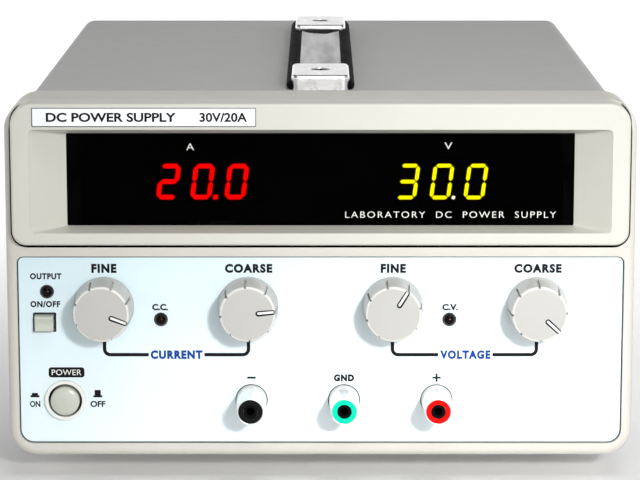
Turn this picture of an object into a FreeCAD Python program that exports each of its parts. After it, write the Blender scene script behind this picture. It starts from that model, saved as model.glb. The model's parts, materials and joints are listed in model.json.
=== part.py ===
"""Bench power supply: a linear DC supply with a moulded front, a steel case and a strap handle.

Every piece is drawn in the case's own frame, in millimetres: x to the right, y into the case
from the moulded frame's front plane, z up from the frame's lower edge. node() then moves it so
that the row's origin is the middle of the whole object's footprint.
"""
import FreeCAD, Part
import Sketcher
import math
import os
import re

DIMENSIONS = {
    # case
    "case_width": 265, "case_height": 152.4, "case_depth": 345, "case_corner": 12,
    "foot_height": 10, "post_reach": 20, "rear_reach": 3, "sheet": 1.2, "gap": 0.3,
    # moulded front frame
    "bezel_depth": 35, "bezel_wall": 3, "bezel_lip": 2, "bezel_round": 3.5,
    "recess_depth": 8, "web_back": 11,
    # display hood and window
    "hood_width": 258.2, "hood_low": 92.4, "hood_reach": 6, "hood_corner": 9, "hood_round": 1.4,
    "hood_gap": 0.8, "mouth_width": 242.8, "mouth_low": 97.7, "mouth_high": 141.3,
    "throat_width": 214, "throat_low": 98.6, "throat_high": 138, "pane_gap": 0.2,
    "window_width": 220.6, "window_low": 96.7, "window_high": 140.3, "window_thick": 2.5,
    "plate_width": 93.2, "plate_low": 142.7, "plate_high": 150.7, "plate_middle": -73.3,
    "plate_thick": 0.3,
    # control panel
    "panel_width": 256, "panel_low": 5.6, "panel_high": 86.7, "panel_thick": 1.5,
    "overlay_thick": 0.8,
    # knobs and potentiometers
    "knob_pitch": 61, "knob_level": 65.2, "knob_face_radius": 11.6, "knob_base_radius": 12.75,
    "knob_front": 16.3, "knob_notch": 1.1, "knob_bore": 3.02, "shaft_radius": 3, "bush_radius": 3.5,
    "pot_radius": 12, "pot_length": 11, "running_gap": 0.05, "knob_wall": 2.5, "hub_radius_front": 9.5,
    "hub_front": 6.5, "knob_rear": 0.5, "pointer_depth": 0.5, "knob_notches": 8,
    "panel_nut_corner": 6, "panel_nut_thick": 2, "wiper_thick": 1.5,
    # binding posts
    "post_pitch": 39.3, "post_level": 24.4, "post_middle": 10, "collar_radius": 6.45,
    "sleeve_tip_radius": 5.6, "stud_radius": 3, "socket_radius": 2, "socket_depth": 14,
    "insert_radius": 5.1, "insert_thick": 3, "stud_length": 32, "stud_lead": 1.5,
    "washer_thick": 0.7, "collar_front": 3, "post_nut_corner": 6, "post_nut_thick": 4,
    # buttons and lamps
    "power_x": -108.4, "power_level": 24.5, "power_cap_radius": 6.15, "power_ring_radius": 8.65,
    "power_well_radius": 7.1, "power_cap_rear": 10, "power_stem_radius": 2, "power_stem_rear": 18,
    "power_switch_front": 5, "power_switch_width": 18, "power_switch_depth": 24,
    "output_x": -116.7, "output_level": 58.2, "output_cap_width": 7.8, "output_cap_height": 6.4,
    "output_cap_length": 12, "output_cap_front": 4, "output_dish_radius": 30,
    "output_switch_size": 12, "output_switch_depth": 14,
    "lamp_radius": 2.5, "output_lamp_x": -115.5, "output_lamp_level": 71.4,
    "mode_lamp_pitch": 61, "mode_lamp_middle": -6.5, "mode_lamp_level": 59.4, "lamp_front": 0.9,
    # sheet-metal case
    "cover_width": 256, "cover_top": 149.2, "cover_bend": 7, "cover_front": 25,
    "floor_front": 35.3, "flange": 14, "rear_face": 342, "rear_sheet": 1.5,
    "side_vent_start": 178, "side_vent_width": 3, "side_vent_height": 34, "side_vent_span": 119,
    "side_vents": 18, "rear_vent_start": 4, "rear_vent_pitch": 7, "rear_vent_width": 3,
    "rear_vent_low": 96, "rear_vent_height": 26, "inner_wall": 86, "wall_opening": 150,
    # strap handle
    "strap_front": 60, "strap_length": 246, "strap_width": 30, "strap_thick": 4.6,
    "cap_length": 44, "cap_width": 25.5, "cap_height": 6.6, "cap_sheet": 1.2, "cap_lift": 2,
    "cap_dish": 1.4,
    # screws
    "screw_radius": 2, "screw_hole": 2.1, "head_radius": 3.8, "head_height": 2.2,
    # feet
    "foot_radius": 10, "foot_x": 105, "foot_front": 58, "foot_rear": 318,
    # fan
    "fan_x": -62, "fan_level": 78, "fan_size": 80, "fan_thick": 25, "fan_bore": 38,
    "fan_holes": 71.5, "blade_radius": 36.5, "hub_radius": 17, "wire": 1.1, "eye_thick": 1.6,
    "eye_radius": 4.6, "fan_arm": 5, "fan_base": 3, "axle_radius": 1.5, "hub_length": 18,
    "blade_thick": 1.6, "blade_pitch_angle": 38, "fan_blades": 7,
    # mains inlet and voltage selector
    "inlet_x": 84, "inlet_level": 46, "inlet_width": 31, "inlet_height": 58,
    "socket_width": 24.6, "socket_height": 16.4, "socket_low": 4, "socket_cut": 4.5,
    "socket_depth_in": 17, "pin_thick": 2, "pin_width": 4, "pin_length": 15, "pin_pitch": 7,
    "drawer_width": 20, "drawer_height": 8, "drawer_low": 17, "drawer_length": 23.5,
    "drawer_front": 3, "fuse_radius": 2.6, "fuse_length": 20,
    "selector_x": 84, "selector_level": 100, "selector_width": 34, "selector_height": 18,
    "selector_body": 12, "selector_window": 15, "selector_block": 8, "selector_offset": 3,
    # transformer
    "core_x": 62, "core_front": 196, "core_stack": 64, "limb": 19,
    # boards
    "board_front": 70, "board_depth": 96, "board_width": 220, "board_level": 11.5,
    "board_thick": 1.6, "standoff_radius": 3, "standoff_x": 100, "standoff_inset": 6,
    "relay_width": 10, "relay_depth": 16, "chip_width": 20, "chip_depth": 7, "chip_height": 4,
    "display_board_width": 200, "display_board_height": 40, "display_board_low": 99,
    "display_board_front": 18, "digit_width": 51, "digit_height": 19, "digit_depth": 7,
    "digit_low": 107.6, "digit_front": 11,
    # reservoir capacitors and rectifier
    "can_radius": 17.5, "can_height": 50, "can_pitch": 42, "can_middle": -10, "can_front": 62,
    "bridge_size": 28.5, "bridge_height": 10, "bridge_x": -30, "bridge_front": 230,
    "bridge_tag": 8, "bridge_tag_width": 6.3, "bridge_tag_reach": 9,
    # heat sink
    "sink_x": -110, "sink_front": 200, "sink_length": 104, "sink_low": 14, "sink_height": 98,
    "sink_base": 6, "fin_reach": 38, "fin_thick": 2, "fin_pitch": 12, "sink_leg": 10,
    "transistor_thick": 5, "transistor_width": 16, "transistor_height": 20,
    "transistor_pitch": 24,
}
ALIASES = re.compile(r"\b(" + "|".join(DIMENSIONS) + r")\b")
FRONT = "(post_reach - case_depth - rear_reach) / 2"
OVERLAY_FACE = "bezel_lip - overlay_thick"
KNOBS = {
    "knob_current_fine": (-1.5, 111), "knob_current_coarse": (-0.5, 85),
    "knob_voltage_fine": (0.5, 32), "knob_voltage_coarse": (1.5, 133),
}
POSTS = {"negative": -1, "ground": 0, "positive": 1}

document = FreeCAD.newDocument("bench_power_supply")
sheet = document.addObject("Spreadsheet::Sheet", "dims")
for row, (word, size) in enumerate(DIMENSIONS.items(), start=1):
    sheet.set("A%d" % row, word)
    sheet.set("B%d" % row, str(size))
    sheet.setAlias("B%d" % row, word)
document.recompute()
nodes = []


# ---- drawing helpers -------------------------------------------------------------------------

def bound(text):
    """The expression with each dimension's name pointing into the sheet."""
    return ALIASES.sub(r"dims.\1", str(text))


def number(text):
    return float(sheet.evalExpression(bound(text)))


def move(item, x=0, y=0, z=0):
    for axis, text in zip("xyz", (x, y, z)):
        item.setExpression("Placement.Base." + axis, bound(text))
    return item


def turn(item, axis, angle):
    item.Placement.Rotation = FreeCAD.Rotation(FreeCAD.Vector(*axis), angle)
    return item


def box(wide, deep, high, x=0, y=0, z=0):
    """A block centred on x, with its front face at y and its underside at z."""
    item = document.addObject("Part::Box", "block")
    for side, text in zip(("Length", "Width", "Height"), (wide, deep, high)):
        item.setExpression(side, bound(text))
    return move(item, "(%s) - (%s) / 2" % (x, wide), y, z)


def rod(radius, length, x=0, y=0, z=0, along="y"):
    """A cylinder that starts at x, y, z and runs along one axis."""
    item = document.addObject("Part::Cylinder", "rod")
    item.setExpression("Radius", bound(radius))
    item.setExpression("Height", bound(length))
    if along == "y":
        turn(item, (1, 0, 0), -90)
    elif along == "x":
        turn(item, (0, 1, 0), 90)
    return move(item, x, y, z)


def hexagon(corner_radius, length, x=0, y=0, z=0):
    """A six-sided nut blank along y."""
    item = document.addObject("Part::Prism", "hexagon")
    item.Polygon = 6
    item.setExpression("Circumradius", bound(corner_radius))
    item.setExpression("Height", bound(length))
    return move(turn(item, (1, 0, 0), -90), x, y, z)


def cone(first, second, length, x=0, y=0, z=0):
    """A taper along y from the first radius to the second."""
    item = document.addObject("Part::Cone", "cone")
    for side, text in zip(("Radius1", "Radius2", "Height"), (first, second, length)):
        item.setExpression(side, bound(text))
    return move(turn(item, (1, 0, 0), -90), x, y, z)


def dome(radius, x=0, y=0, z=0):
    item = document.addObject("Part::Sphere", "dome")
    item.setExpression("Radius", bound(radius))
    return move(item, x, y, z)


def hoop(radius, wire, x=0, y=0, z=0):
    """A wire ring whose axis is y."""
    item = document.addObject("Part::Torus", "hoop")
    item.setExpression("Radius1", bound(radius))
    item.setExpression("Radius2", bound(wire))
    return move(turn(item, (1, 0, 0), -90), x, y, z)


def fuse(*items):
    item = document.addObject("Part::MultiFuse", "fused")
    item.Shapes = list(items)
    item.Refine = True
    return item


def group(*items):
    item = document.addObject("Part::Compound", "set")
    item.Links = list(items)
    return item


def cut(base, *tools):
    item = document.addObject("Part::Cut", "cut")
    item.Base = base
    item.Tool = tools[0] if len(tools) == 1 else group(*tools)
    return item


def new_body(name):
    return document.addObject("PartDesign::Body", name)


def sketch(body, role, offset=0):
    """A sketch on one of the body's own origin planes, moved along the plane's normal."""
    item = body.newObject("Sketcher::SketchObject", "outline")
    plane = next(part for part in body.Origin.OriginFeatures if part.Role == role)
    item.AttachmentSupport = [(plane, "")]
    item.MapMode = "FlatFace"
    item.setExpression("AttachmentOffset.Base.z", bound(offset))
    return item


def front_sketch(body, y=0):
    """A sketch in x and z at depth y; the plane's normal points out of the front."""
    return sketch(body, "XZ_Plane", "-(%s)" % y)


def pin_point(item, line, end, across, up):
    """Fixes one end of a line at two bound distances from the sketch's origin."""
    for kind, text in (("DistanceX", across), ("DistanceY", up)):
        index = item.addConstraint(Sketcher.Constraint(kind, -1, 1, line, end, number(text)))
        item.setExpression("Constraints[%d]" % index, bound(text))


def polygon(item, corners):
    """A closed outline of straight lines through bound corners."""
    points = [FreeCAD.Vector(number(across), number(up), 0) for across, up in corners]
    count = len(points)
    for index in range(count):
        item.addGeometry(Part.LineSegment(points[index], points[(index + 1) % count]))
    for index, corner in enumerate(corners):
        item.addConstraint(Sketcher.Constraint("Coincident", (index - 1) % count, 2, index, 1))
        pin_point(item, index, 1, *corner)
    return item


def rounded(item, left, right, low, high, top_radius, low_radius=None):
    """A closed rectangle with rounded corners between four bound edges."""
    radii = [low_radius or top_radius, top_radius]
    x0, x1, z0, z1 = (number(text) for text in (left, right, low, high))
    below, above = (number(text) for text in radii)
    corners = [
        (x1 - below, z0 + below, below, -90), (x1 - above, z1 - above, above, 0),
        (x0 + above, z1 - above, above, 90), (x0 + below, z0 + below, below, 180),
    ]
    straights = [
        ((x0 + below, z0), (x1 - below, z0)), ((x1, z0 + below), (x1, z1 - above)),
        ((x1 - above, z1), (x0 + above, z1)), ((x0, z1 - above), (x0, z0 + below)),
    ]
    for (start, end), (across, up, radius, angle) in zip(straights, corners):
        item.addGeometry(Part.LineSegment(FreeCAD.Vector(*start, 0), FreeCAD.Vector(*end, 0)))
        circle = Part.Circle(FreeCAD.Vector(across, up, 0), FreeCAD.Vector(0, 0, 1), radius)
        begin = math.radians(angle)
        item.addGeometry(Part.ArcOfCircle(circle, begin, begin + math.pi / 2))
    for index in range(8):
        item.addConstraint(Sketcher.Constraint("Tangent", index, 2, (index + 1) % 8, 1))
    for line, kind in ((0, "Horizontal"), (2, "Vertical"), (4, "Horizontal"), (6, "Vertical")):
        item.addConstraint(Sketcher.Constraint(kind, line))
    edges = ((0, "DistanceY", low), (2, "DistanceX", right), (4, "DistanceY", high),
             (6, "DistanceX", left))
    for line, kind, text in edges:
        index = item.addConstraint(Sketcher.Constraint(kind, -1, 1, line, 1, number(text)))
        item.setExpression("Constraints[%d]" % index, bound(text))
    for arc, text in ((1, radii[0]), (3, radii[1]), (5, radii[1]), (7, radii[0])):
        index = item.addConstraint(Sketcher.Constraint("Radius", arc, number(text)))
        item.setExpression("Constraints[%d]" % index, bound(text))
    return item


def circle(item, radius, across=0, up=0):
    """A circle whose centre and radius are bound."""
    centre = FreeCAD.Vector(number(across), number(up), 0)
    index = item.addGeometry(Part.Circle(centre, FreeCAD.Vector(0, 0, 1), number(radius)))
    pin_point(item, index, 3, across, up)
    place = item.addConstraint(Sketcher.Constraint("Radius", index, number(radius)))
    item.setExpression("Constraints[%d]" % place, bound(radius))
    return item


def pad(body, outline, length, inward=True, both_ways=False):
    """Thickens an outline. A front sketch is padded inward, against its normal."""
    item = body.newObject("PartDesign::Pad", "pad")
    item.Profile = outline
    item.setExpression("Length", bound(length))
    item.Reversed = inward
    if both_ways:
        item.SideType = "Symmetric"
    return item


def pocket(body, outline, length, both_ways=False):
    """Cuts an outline against its normal, which is inward for a front sketch."""
    document.recompute()
    before = body.Shape.Volume
    item = body.newObject("PartDesign::Pocket", "pocket")
    item.Profile = outline
    item.setExpression("Length", bound(length))
    if both_ways:
        item.SideType = "Symmetric"
    document.recompute()
    if body.Shape.Volume > before - 1e-6:
        raise RuntimeError("a pocket in %s cut nothing" % body.Name)
    return item


def lathe(name, profile):
    """A body turned about y from (radius, y) corners."""
    body = new_body(name)
    outline = polygon(sketch(body, "XY_Plane"), profile)
    item = body.newObject("PartDesign::Revolution", "turned")
    item.Profile = outline
    item.ReferenceAxis = (outline, ["V_Axis"])
    return body


def round_edges(body, radius, wanted):
    """Rounds the edges of the body's last feature that wanted() accepts."""
    document.recompute()
    base = body.Tip
    names = ["Edge%d" % (index + 1) for index, edge in enumerate(base.Shape.Edges)
             if wanted(edge.BoundBox)]
    item = body.newObject("PartDesign::Fillet", "round")
    item.Base = (base, names)
    item.setExpression("Radius", bound(radius))
    return item


def at_depth(text):
    """Accepts the edges that lie in the plane at one depth."""
    depth = number(text)
    return lambda room: abs(room.YMin - depth) < 0.01 and abs(room.YMax - depth) < 0.01


def node(name, item, x=0, y=0, z=0):
    """Names a finished sub-part and carries it from the case's frame to the row's."""
    item.Label = name
    move(item, x, "%s + (%s)" % (FRONT, y), "foot_height + (%s)" % z)
    nodes.append(item)


# ---- moulded front ---------------------------------------------------------------------------

def front_bezel():
    """The moulded frame: a rounded tube with a lip round the panel and a recess for the hood."""
    body = new_body("front_bezel")
    half = "case_width / 2"
    outer = rounded(front_sketch(body), "-" + half, half, 0, "case_height", "case_corner")
    pad(body, outer, "bezel_depth")
    round_edges(body, "bezel_round", at_depth(0))
    inside = "case_width / 2 - bezel_wall"
    corner = "case_corner - bezel_wall"
    upper = rounded(front_sketch(body, "web_back"), "-(%s)" % inside, inside, "bezel_wall",
                    "case_height - bezel_wall", corner)
    pocket(body, upper, "bezel_depth - web_back")
    lower = rounded(front_sketch(body, "bezel_lip"), "-(%s)" % inside, inside, "bezel_wall",
                    "hood_low - hood_gap - bezel_wall", 2, corner)
    pocket(body, lower, "web_back - bezel_lip")
    panel_hole = rounded(front_sketch(body), "-panel_width / 2", "panel_width / 2", "panel_low",
                         "panel_high", 2.8, 6)
    pocket(body, panel_hole, "bezel_lip")
    side = "hood_width / 2 + hood_gap"
    recess = rounded(front_sketch(body), "-(%s)" % side, side, "hood_low - hood_gap",
                     "case_height + hood_gap", "hood_corner + hood_gap", "hood_corner - 2")
    pocket(body, recess, "recess_depth")
    view = rounded(front_sketch(body, "recess_depth"), "-window_width / 2 - pane_gap",
                   "window_width / 2 + pane_gap", "window_low - pane_gap",
                   "window_high + pane_gap", 2)
    pocket(body, view, "web_back - recess_depth")
    node("front_bezel", body)


def display_hood():
    """The projecting hood, with a mouth that narrows to the window."""
    body = new_body("display_hood")
    half = "hood_width / 2"
    outer = rounded(front_sketch(body, "-hood_reach"), "-" + half, half, "hood_low",
                    "case_height", "hood_corner", "hood_corner - 3")
    pad(body, outer, "hood_reach + recess_depth")
    round_edges(body, "hood_round", at_depth("-hood_reach"))
    mouth = rounded(front_sketch(body, "-hood_reach"), "-mouth_width / 2", "mouth_width / 2",
                    "mouth_low", "mouth_high", 2)
    throat = rounded(front_sketch(body, "recess_depth"), "-throat_width / 2", "throat_width / 2",
                     "throat_low", "throat_high", 0.6)
    funnel = body.newObject("PartDesign::SubtractiveLoft", "funnel")
    funnel.Profile = mouth
    funnel.Sections = [throat]
    funnel.Ruled = True
    node("display_hood", body)


def display_window():
    """The smoked acrylic pane in the frame's web, behind the hood."""
    body = new_body("display_window")
    outline = rounded(front_sketch(body, "recess_depth"), "-window_width / 2",
                      "window_width / 2", "window_low", "window_high", 1.5)
    pad(body, outline, "window_thick")
    node("display_window", body)


def label_plate():
    """A thin blank metal plate on the hood's brow."""
    body = new_body("label_plate")
    outline = rounded(front_sketch(body, "-hood_reach - plate_thick"), "-plate_width / 2",
                      "plate_width / 2", "plate_low", "plate_high", 0.5)
    pad(body, outline, "plate_thick")
    node("label_plate", body, "plate_middle")


def panel_holes(start, deep):
    """Everything that passes through the control panel, as cutting tools."""
    tools = [rod("bush_radius + 0.1", deep, "knob_pitch * %s" % place, start, "knob_level")
             for place, _ in KNOBS.values()]
    tools += [rod("stud_radius + 1.1", deep, "post_middle + post_pitch * %d" % place, start,
                  "post_level") for place in POSTS.values()]
    tools += [rod("lamp_radius + 0.1", deep, x, start, z) for x, z in lamp_places()]
    tools.append(rod("power_well_radius + 0.9", deep, "power_x", start, "power_level"))
    tools.append(box("output_cap_width + 0.8", deep, "output_cap_height + 0.8", "output_x",
                     start, "output_level - output_cap_height / 2 - 0.4"))
    return tools


def lamp_places():
    """The output lamp over its button, and the two mode lamps half way between the knobs."""
    modes = [("mode_lamp_middle %s mode_lamp_pitch" % sign, "mode_lamp_level") for sign in "-+"]
    return [("output_lamp_x", "output_lamp_level")] + modes


def control_panel():
    """The steel panel behind the lip, which carries the controls and the posts."""
    body = new_body("panel_sheet")
    outline = rounded(front_sketch(body, "bezel_lip"), "-panel_width / 2 - 1",
                      "panel_width / 2 + 1", "panel_low - 1", "panel_high + 0.5", 2, 7)
    pad(body, outline, "panel_thick")
    node("control_panel", cut(body, *panel_holes("bezel_lip - 1", "panel_thick + 2")))


def panel_overlay():
    """The printed sheet that lies on the control panel inside the lip."""
    body = new_body("overlay_sheet")
    outline = rounded(front_sketch(body, OVERLAY_FACE), "-panel_width / 2 + 0.2",
                      "panel_width / 2 - 0.2", "panel_low + 0.2", "panel_high - 0.2", 2.6, 5.8)
    pad(body, outline, "overlay_thick")
    node("panel_overlay", cut(body, *panel_holes(OVERLAY_FACE + " - 1", "overlay_thick + 2")))


# ---- controls --------------------------------------------------------------------------------

def knob(name, place, angle):
    """A tapered knob with eight notches, one of which carries on across the face as the pointer."""
    body = lathe(name, [
        ("knob_bore", "-knob_front + knob_wall"), ("knob_bore", "-hub_front"),
        ("hub_radius_front", "-hub_front"), ("hub_radius_front", "knob_rear"),
        ("knob_base_radius", "knob_rear"), ("knob_base_radius", "-1"),
        ("knob_face_radius", "-knob_front"), ("0", "-knob_front"),
        ("0", "-knob_front + knob_wall"),
    ])
    round_edges(body, 1, at_depth("-knob_front"))
    side = polygon(front_sketch(body, "-knob_front"), [
        ("-knob_notch / 2", "knob_face_radius - 0.9"), ("knob_notch / 2", "knob_face_radius - 0.9"),
        ("knob_notch / 2", "knob_base_radius + 1"), ("-knob_notch / 2", "knob_base_radius + 1"),
    ])
    notch = pocket(body, side, "knob_front - 2")
    ring = body.newObject("PartDesign::PolarPattern", "notches")
    ring.Originals = [notch]
    ring.Axis = (side, ["N_Axis"])
    ring.Angle = 360
    ring.Occurrences = DIMENSIONS["knob_notches"]
    body.Tip = ring
    pointer = polygon(front_sketch(body, "-knob_front"), [
        ("-knob_notch / 2", "knob_face_radius * 0.4"), ("knob_notch / 2", "knob_face_radius * 0.4"),
        ("knob_notch / 2", "knob_face_radius"), ("-knob_notch / 2", "knob_face_radius"),
    ])
    pocket(body, pointer, "pointer_depth")
    turn(body, (0, 1, 0), angle)
    node(name, body, "knob_pitch * %s" % place, 0, "knob_level")


def pot_shaft(name, place):
    """A potentiometer's shaft, from inside the pot to the knob's hub, with its wiper disc."""
    stem = rod("shaft_radius", "knob_front - knob_wall + 7", 0, "-knob_front + knob_wall", 0)
    wiper = rod("pot_radius - 2", "wiper_thick", 0, 7, 0)
    node(name, fuse(stem, wiper), "knob_pitch * %s" % place, 0, "knob_level")


def potentiometers():
    """Four pot housings behind the panel, each with a bush that its shaft turns in."""
    housings = []
    for place, _ in KNOBS.values():
        x = "knob_pitch * %s" % place
        back = "bezel_lip + panel_thick"
        can = rod("pot_radius", "pot_length", x, back, "knob_level")
        bush = rod("bush_radius", back + " + 4.5", x, -4.5, "knob_level")
        lugs = [box(2, 4, 6, x + " + %d" % step, back + " + pot_length / 2",
                    "knob_level - pot_radius - 4") for step in (-5, 0, 5)]
        bore = rod("shaft_radius + running_gap", 16, x, -6, "knob_level")
        chamber = rod("pot_radius - 1.5", 6, x, back + " + 2", "knob_level")
        housings.append(cut(fuse(can, bush, *lugs), bore, chamber))
    node("potentiometers", group(*housings))


def panel_nuts():
    """The hexagon nuts that hold the four pots to the panel, hidden under the knobs."""
    nuts = []
    for place, _ in KNOBS.values():
        x = "knob_pitch * %s" % place
        nut = hexagon("panel_nut_corner", "panel_nut_thick", x,
                      OVERLAY_FACE + " - panel_nut_thick", "knob_level")
        nuts.append(cut(nut, rod("bush_radius", 4, x, OVERLAY_FACE + " - 3", "knob_level")))
    node("panel_nuts", group(*nuts))


def power_button():
    """The round latching mains button: its ring in the panel, its cap and the switch behind."""
    x, z = "power_x", "power_level"
    face = OVERLAY_FACE
    ring = fuse(rod("power_ring_radius", 2, x, face + " - 2", z),
                rod("power_well_radius + 0.8", 3.8, x, face, z))
    node("power_button_ring", cut(ring, rod("power_well_radius", 12, x, -4, z)))
    cap = lathe("power_cap", [
        ("0", "-3.2"), ("power_cap_radius", "-2.3"), ("power_cap_radius", "power_cap_rear"),
        ("power_stem_radius", "power_cap_rear"), ("power_stem_radius", "power_stem_rear"),
        ("0", "power_stem_rear")])
    round_edges(cap, 0.7, at_depth(-2.3))
    node("power_button_cap", cap, x, 0, z)
    housing = box("power_switch_width", "power_switch_depth", "power_switch_width", x,
                  "power_switch_front", z + " - power_switch_width / 2")
    well = group(rod("power_well_radius", 7, x, "power_switch_front", z),
                 rod("power_stem_radius + gap", 8.2, x, "power_switch_front + 7", z))
    lugs = [box(5, 5, 0.8, x, "power_switch_front + power_switch_depth", "%s + %d" % (z, step))
            for step in (-6, 0, 6)]
    node("power_switch_body", fuse(cut(housing, well), *lugs))


def output_button():
    """The small square output button and the switch behind the panel."""
    x, z = "output_x", "output_level"
    cap = box("output_cap_width", "output_cap_length", "output_cap_height", x,
              "-output_cap_front", z + " - output_cap_height / 2")
    dish = rod("output_dish_radius", 20, "output_x - 10",
               "0.8 - output_cap_front - output_dish_radius", z, along="x")
    node("output_button_cap", cut(cap, dish))
    housing = box("output_switch_size", "output_switch_depth", "output_switch_size", x,
                  "bezel_lip + panel_thick", z + " - output_switch_size / 2")
    well = box("output_cap_width + 0.8", 8.7, "output_cap_height + 0.8", x,
               "bezel_lip + panel_thick", z + " - output_cap_height / 2 - 0.4")
    node("output_switch_body", cut(housing, well))


def indicator_leds():
    """Three domed lamps that stand just proud of the panel."""
    lamps = []
    for x, z in lamp_places():
        lamps.append(fuse(dome("lamp_radius", x, "lamp_front", z),
                          rod("lamp_radius", 5, x, "lamp_front", z),
                          rod("lamp_radius + 0.5", 1, x, "bezel_lip + panel_thick", z)))
    node("indicator_leds", group(*lamps))


# ---- binding posts ---------------------------------------------------------------------------

def post_x(place):
    return "post_middle + post_pitch * %d" % place


def post_hardware():
    """The fixed parts of the three posts: insulating collars and drilled studs."""
    collars, studs = [], []
    for place in POSTS.values():
        x = post_x(place)
        ring = fuse(rod("collar_radius", OVERLAY_FACE + " + collar_front", x, "-collar_front",
                        "post_level"),
                    rod("stud_radius + 1", "overlay_thick + panel_thick", x, OVERLAY_FACE,
                        "post_level"))
        collars.append(cut(ring, rod("stud_radius", 10, x, -4, "post_level")))
        stud = rod("stud_radius", "stud_length", x, "-post_reach + stud_lead", "post_level")
        nut = hexagon("post_nut_corner", "post_nut_thick", x, "bezel_lip + panel_thick",
                      "post_level")
        socket = rod("socket_radius", "socket_depth", x, "-post_reach + stud_lead", "post_level")
        studs.append(cut(fuse(stud, nut), socket))
    node("post_collars", group(*collars))
    node("post_studs", group(*studs))


def post_nut(name, place):
    """One post's captive washer, its knurled metal sleeve and the coloured insert in its end."""
    x = post_x(place)
    hole = rod("stud_radius + running_gap", 30, 0, "-post_reach - 1")
    washer = cut(rod("collar_radius - 0.4", "washer_thick", 0, -4), hole)
    node("post_washer_" + name, washer, x, 0, "post_level")
    sleeve = cone("sleeve_tip_radius", "collar_radius - 0.2", "post_reach - 4.3", 0,
                  "-post_reach")
    seat = rod("insert_radius", "insert_thick + 0.2", 0, "-post_reach - 0.2")
    node("post_nut_" + name, cut(sleeve, group(hole, seat)), x, 0, "post_level")
    insert = rod("insert_radius", "insert_thick", 0, "-post_reach")
    mouth = rod("stud_radius + running_gap", 5, 0, "-post_reach - 1")
    node("post_insert_" + name, cut(insert, mouth), x, 0, "post_level")


# ---- sheet-metal case ------------------------------------------------------------------------

def top_cover():
    """The steel cover: top and both sides in one bent sheet, with vent slots in the sides."""
    body = new_body("cover_sheet")
    half = "cover_width / 2"
    outer = rounded(front_sketch(body, "cover_front"), "-" + half, half, "-20", "cover_top",
                    "cover_bend")
    pad(body, outer, "case_depth - cover_front")
    inner = "cover_width / 2 - sheet"
    hollow = rounded(front_sketch(body, "cover_front"), "-(%s)" % inner, inner, "-20 + sheet",
                     "cover_top - sheet", "cover_bend - sheet")
    pocket(body, hollow, "case_depth - cover_front")
    underside = polygon(front_sketch(body, "cover_front"), [
        ("-" + half + " - 1", "-21"), (half + " + 1", "-21"), (half + " + 1", "gap"),
        ("-" + half + " - 1", "gap")])
    pocket(body, underside, "case_depth - cover_front")
    heel = polygon(sketch(body, "YZ_Plane"), [
        ("cover_front - 1", -1), ("floor_front", -1), ("floor_front", "case_corner + 1"),
        ("cover_front - 1", "case_corner + 1")])
    pocket(body, heel, "cover_width + 10", both_ways=True)
    for level in (40, 84):
        slot = rounded(sketch(body, "YZ_Plane"), "side_vent_start",
                       "side_vent_start + side_vent_width", level,
                       "%d + side_vent_height" % level, 1.4)
        first = pocket(body, slot, "cover_width + 10", both_ways=True)
        row = body.newObject("PartDesign::LinearPattern", "vents")
        row.Originals = [first]
        row.Direction = (slot, ["H_Axis"])
        row.setExpression("Length", bound("side_vent_span"))
        row.setExpression("Occurrences", bound("side_vents"))
        body.Tip = row
    screws = [side_drill(y, z) for y, z in side_screw_places()]
    node("top_cover", cut(body, *(screws + handle_holes("cover_top - 3", 6))))


def side_screw_places():
    """Depth and height of the screws that hold each side of the cover."""
    return [(48, 8), (195, 8), (336, 8), (336, 60)]


def side_drill(y, z):
    """A clearance drill right across the case."""
    return rod("screw_hole", "cover_width + 10", "-cover_width / 2 - 5", y, z, along="x")


def handle_holes(start, length):
    return [rod("screw_hole", length, 0, y, start, along="z") for y in cap_middles()]


def cap_middles():
    return ["strap_front + cap_length / 2", "strap_front + strap_length - cap_length / 2"]


def bottom_chassis():
    """The steel tray: floor, side flanges, a rear upstand and the inner front wall."""
    inner = "cover_width - 2 * sheet - 0.6"
    length = "rear_face - floor_front"
    floor = box(inner, length, "sheet", 0, "floor_front")
    sides = [box("sheet", length, "flange", "%s * (cover_width / 2 - 1.5 * sheet - 0.3)" % side,
                 "floor_front") for side in (-1, 1)]
    upstand = box(inner, "sheet", "flange", 0, "rear_face - sheet")
    wall = box(inner, "sheet", "inner_wall", 0, "floor_front")
    window = box("wall_opening", 6, "wall_opening / 3", 0, "floor_front - 2", 26)
    holes = [side_drill(y, z) for y, z in side_screw_places()[:3]]
    feet = [rod("screw_hole", 6, x, y, -3, along="z") for x, y in foot_places()]
    rear = [rod("screw_hole", 6, x, "rear_face - 4", z) for x, z in rear_screw_places()[:2]]
    tray = cut(fuse(floor, upstand, wall, *sides), window, *(holes + feet + rear))
    node("bottom_chassis", tray)


def foot_places():
    return [("%s * foot_x" % side, y) for side in (-1, 1) for y in ("foot_front", "foot_rear")]


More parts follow.
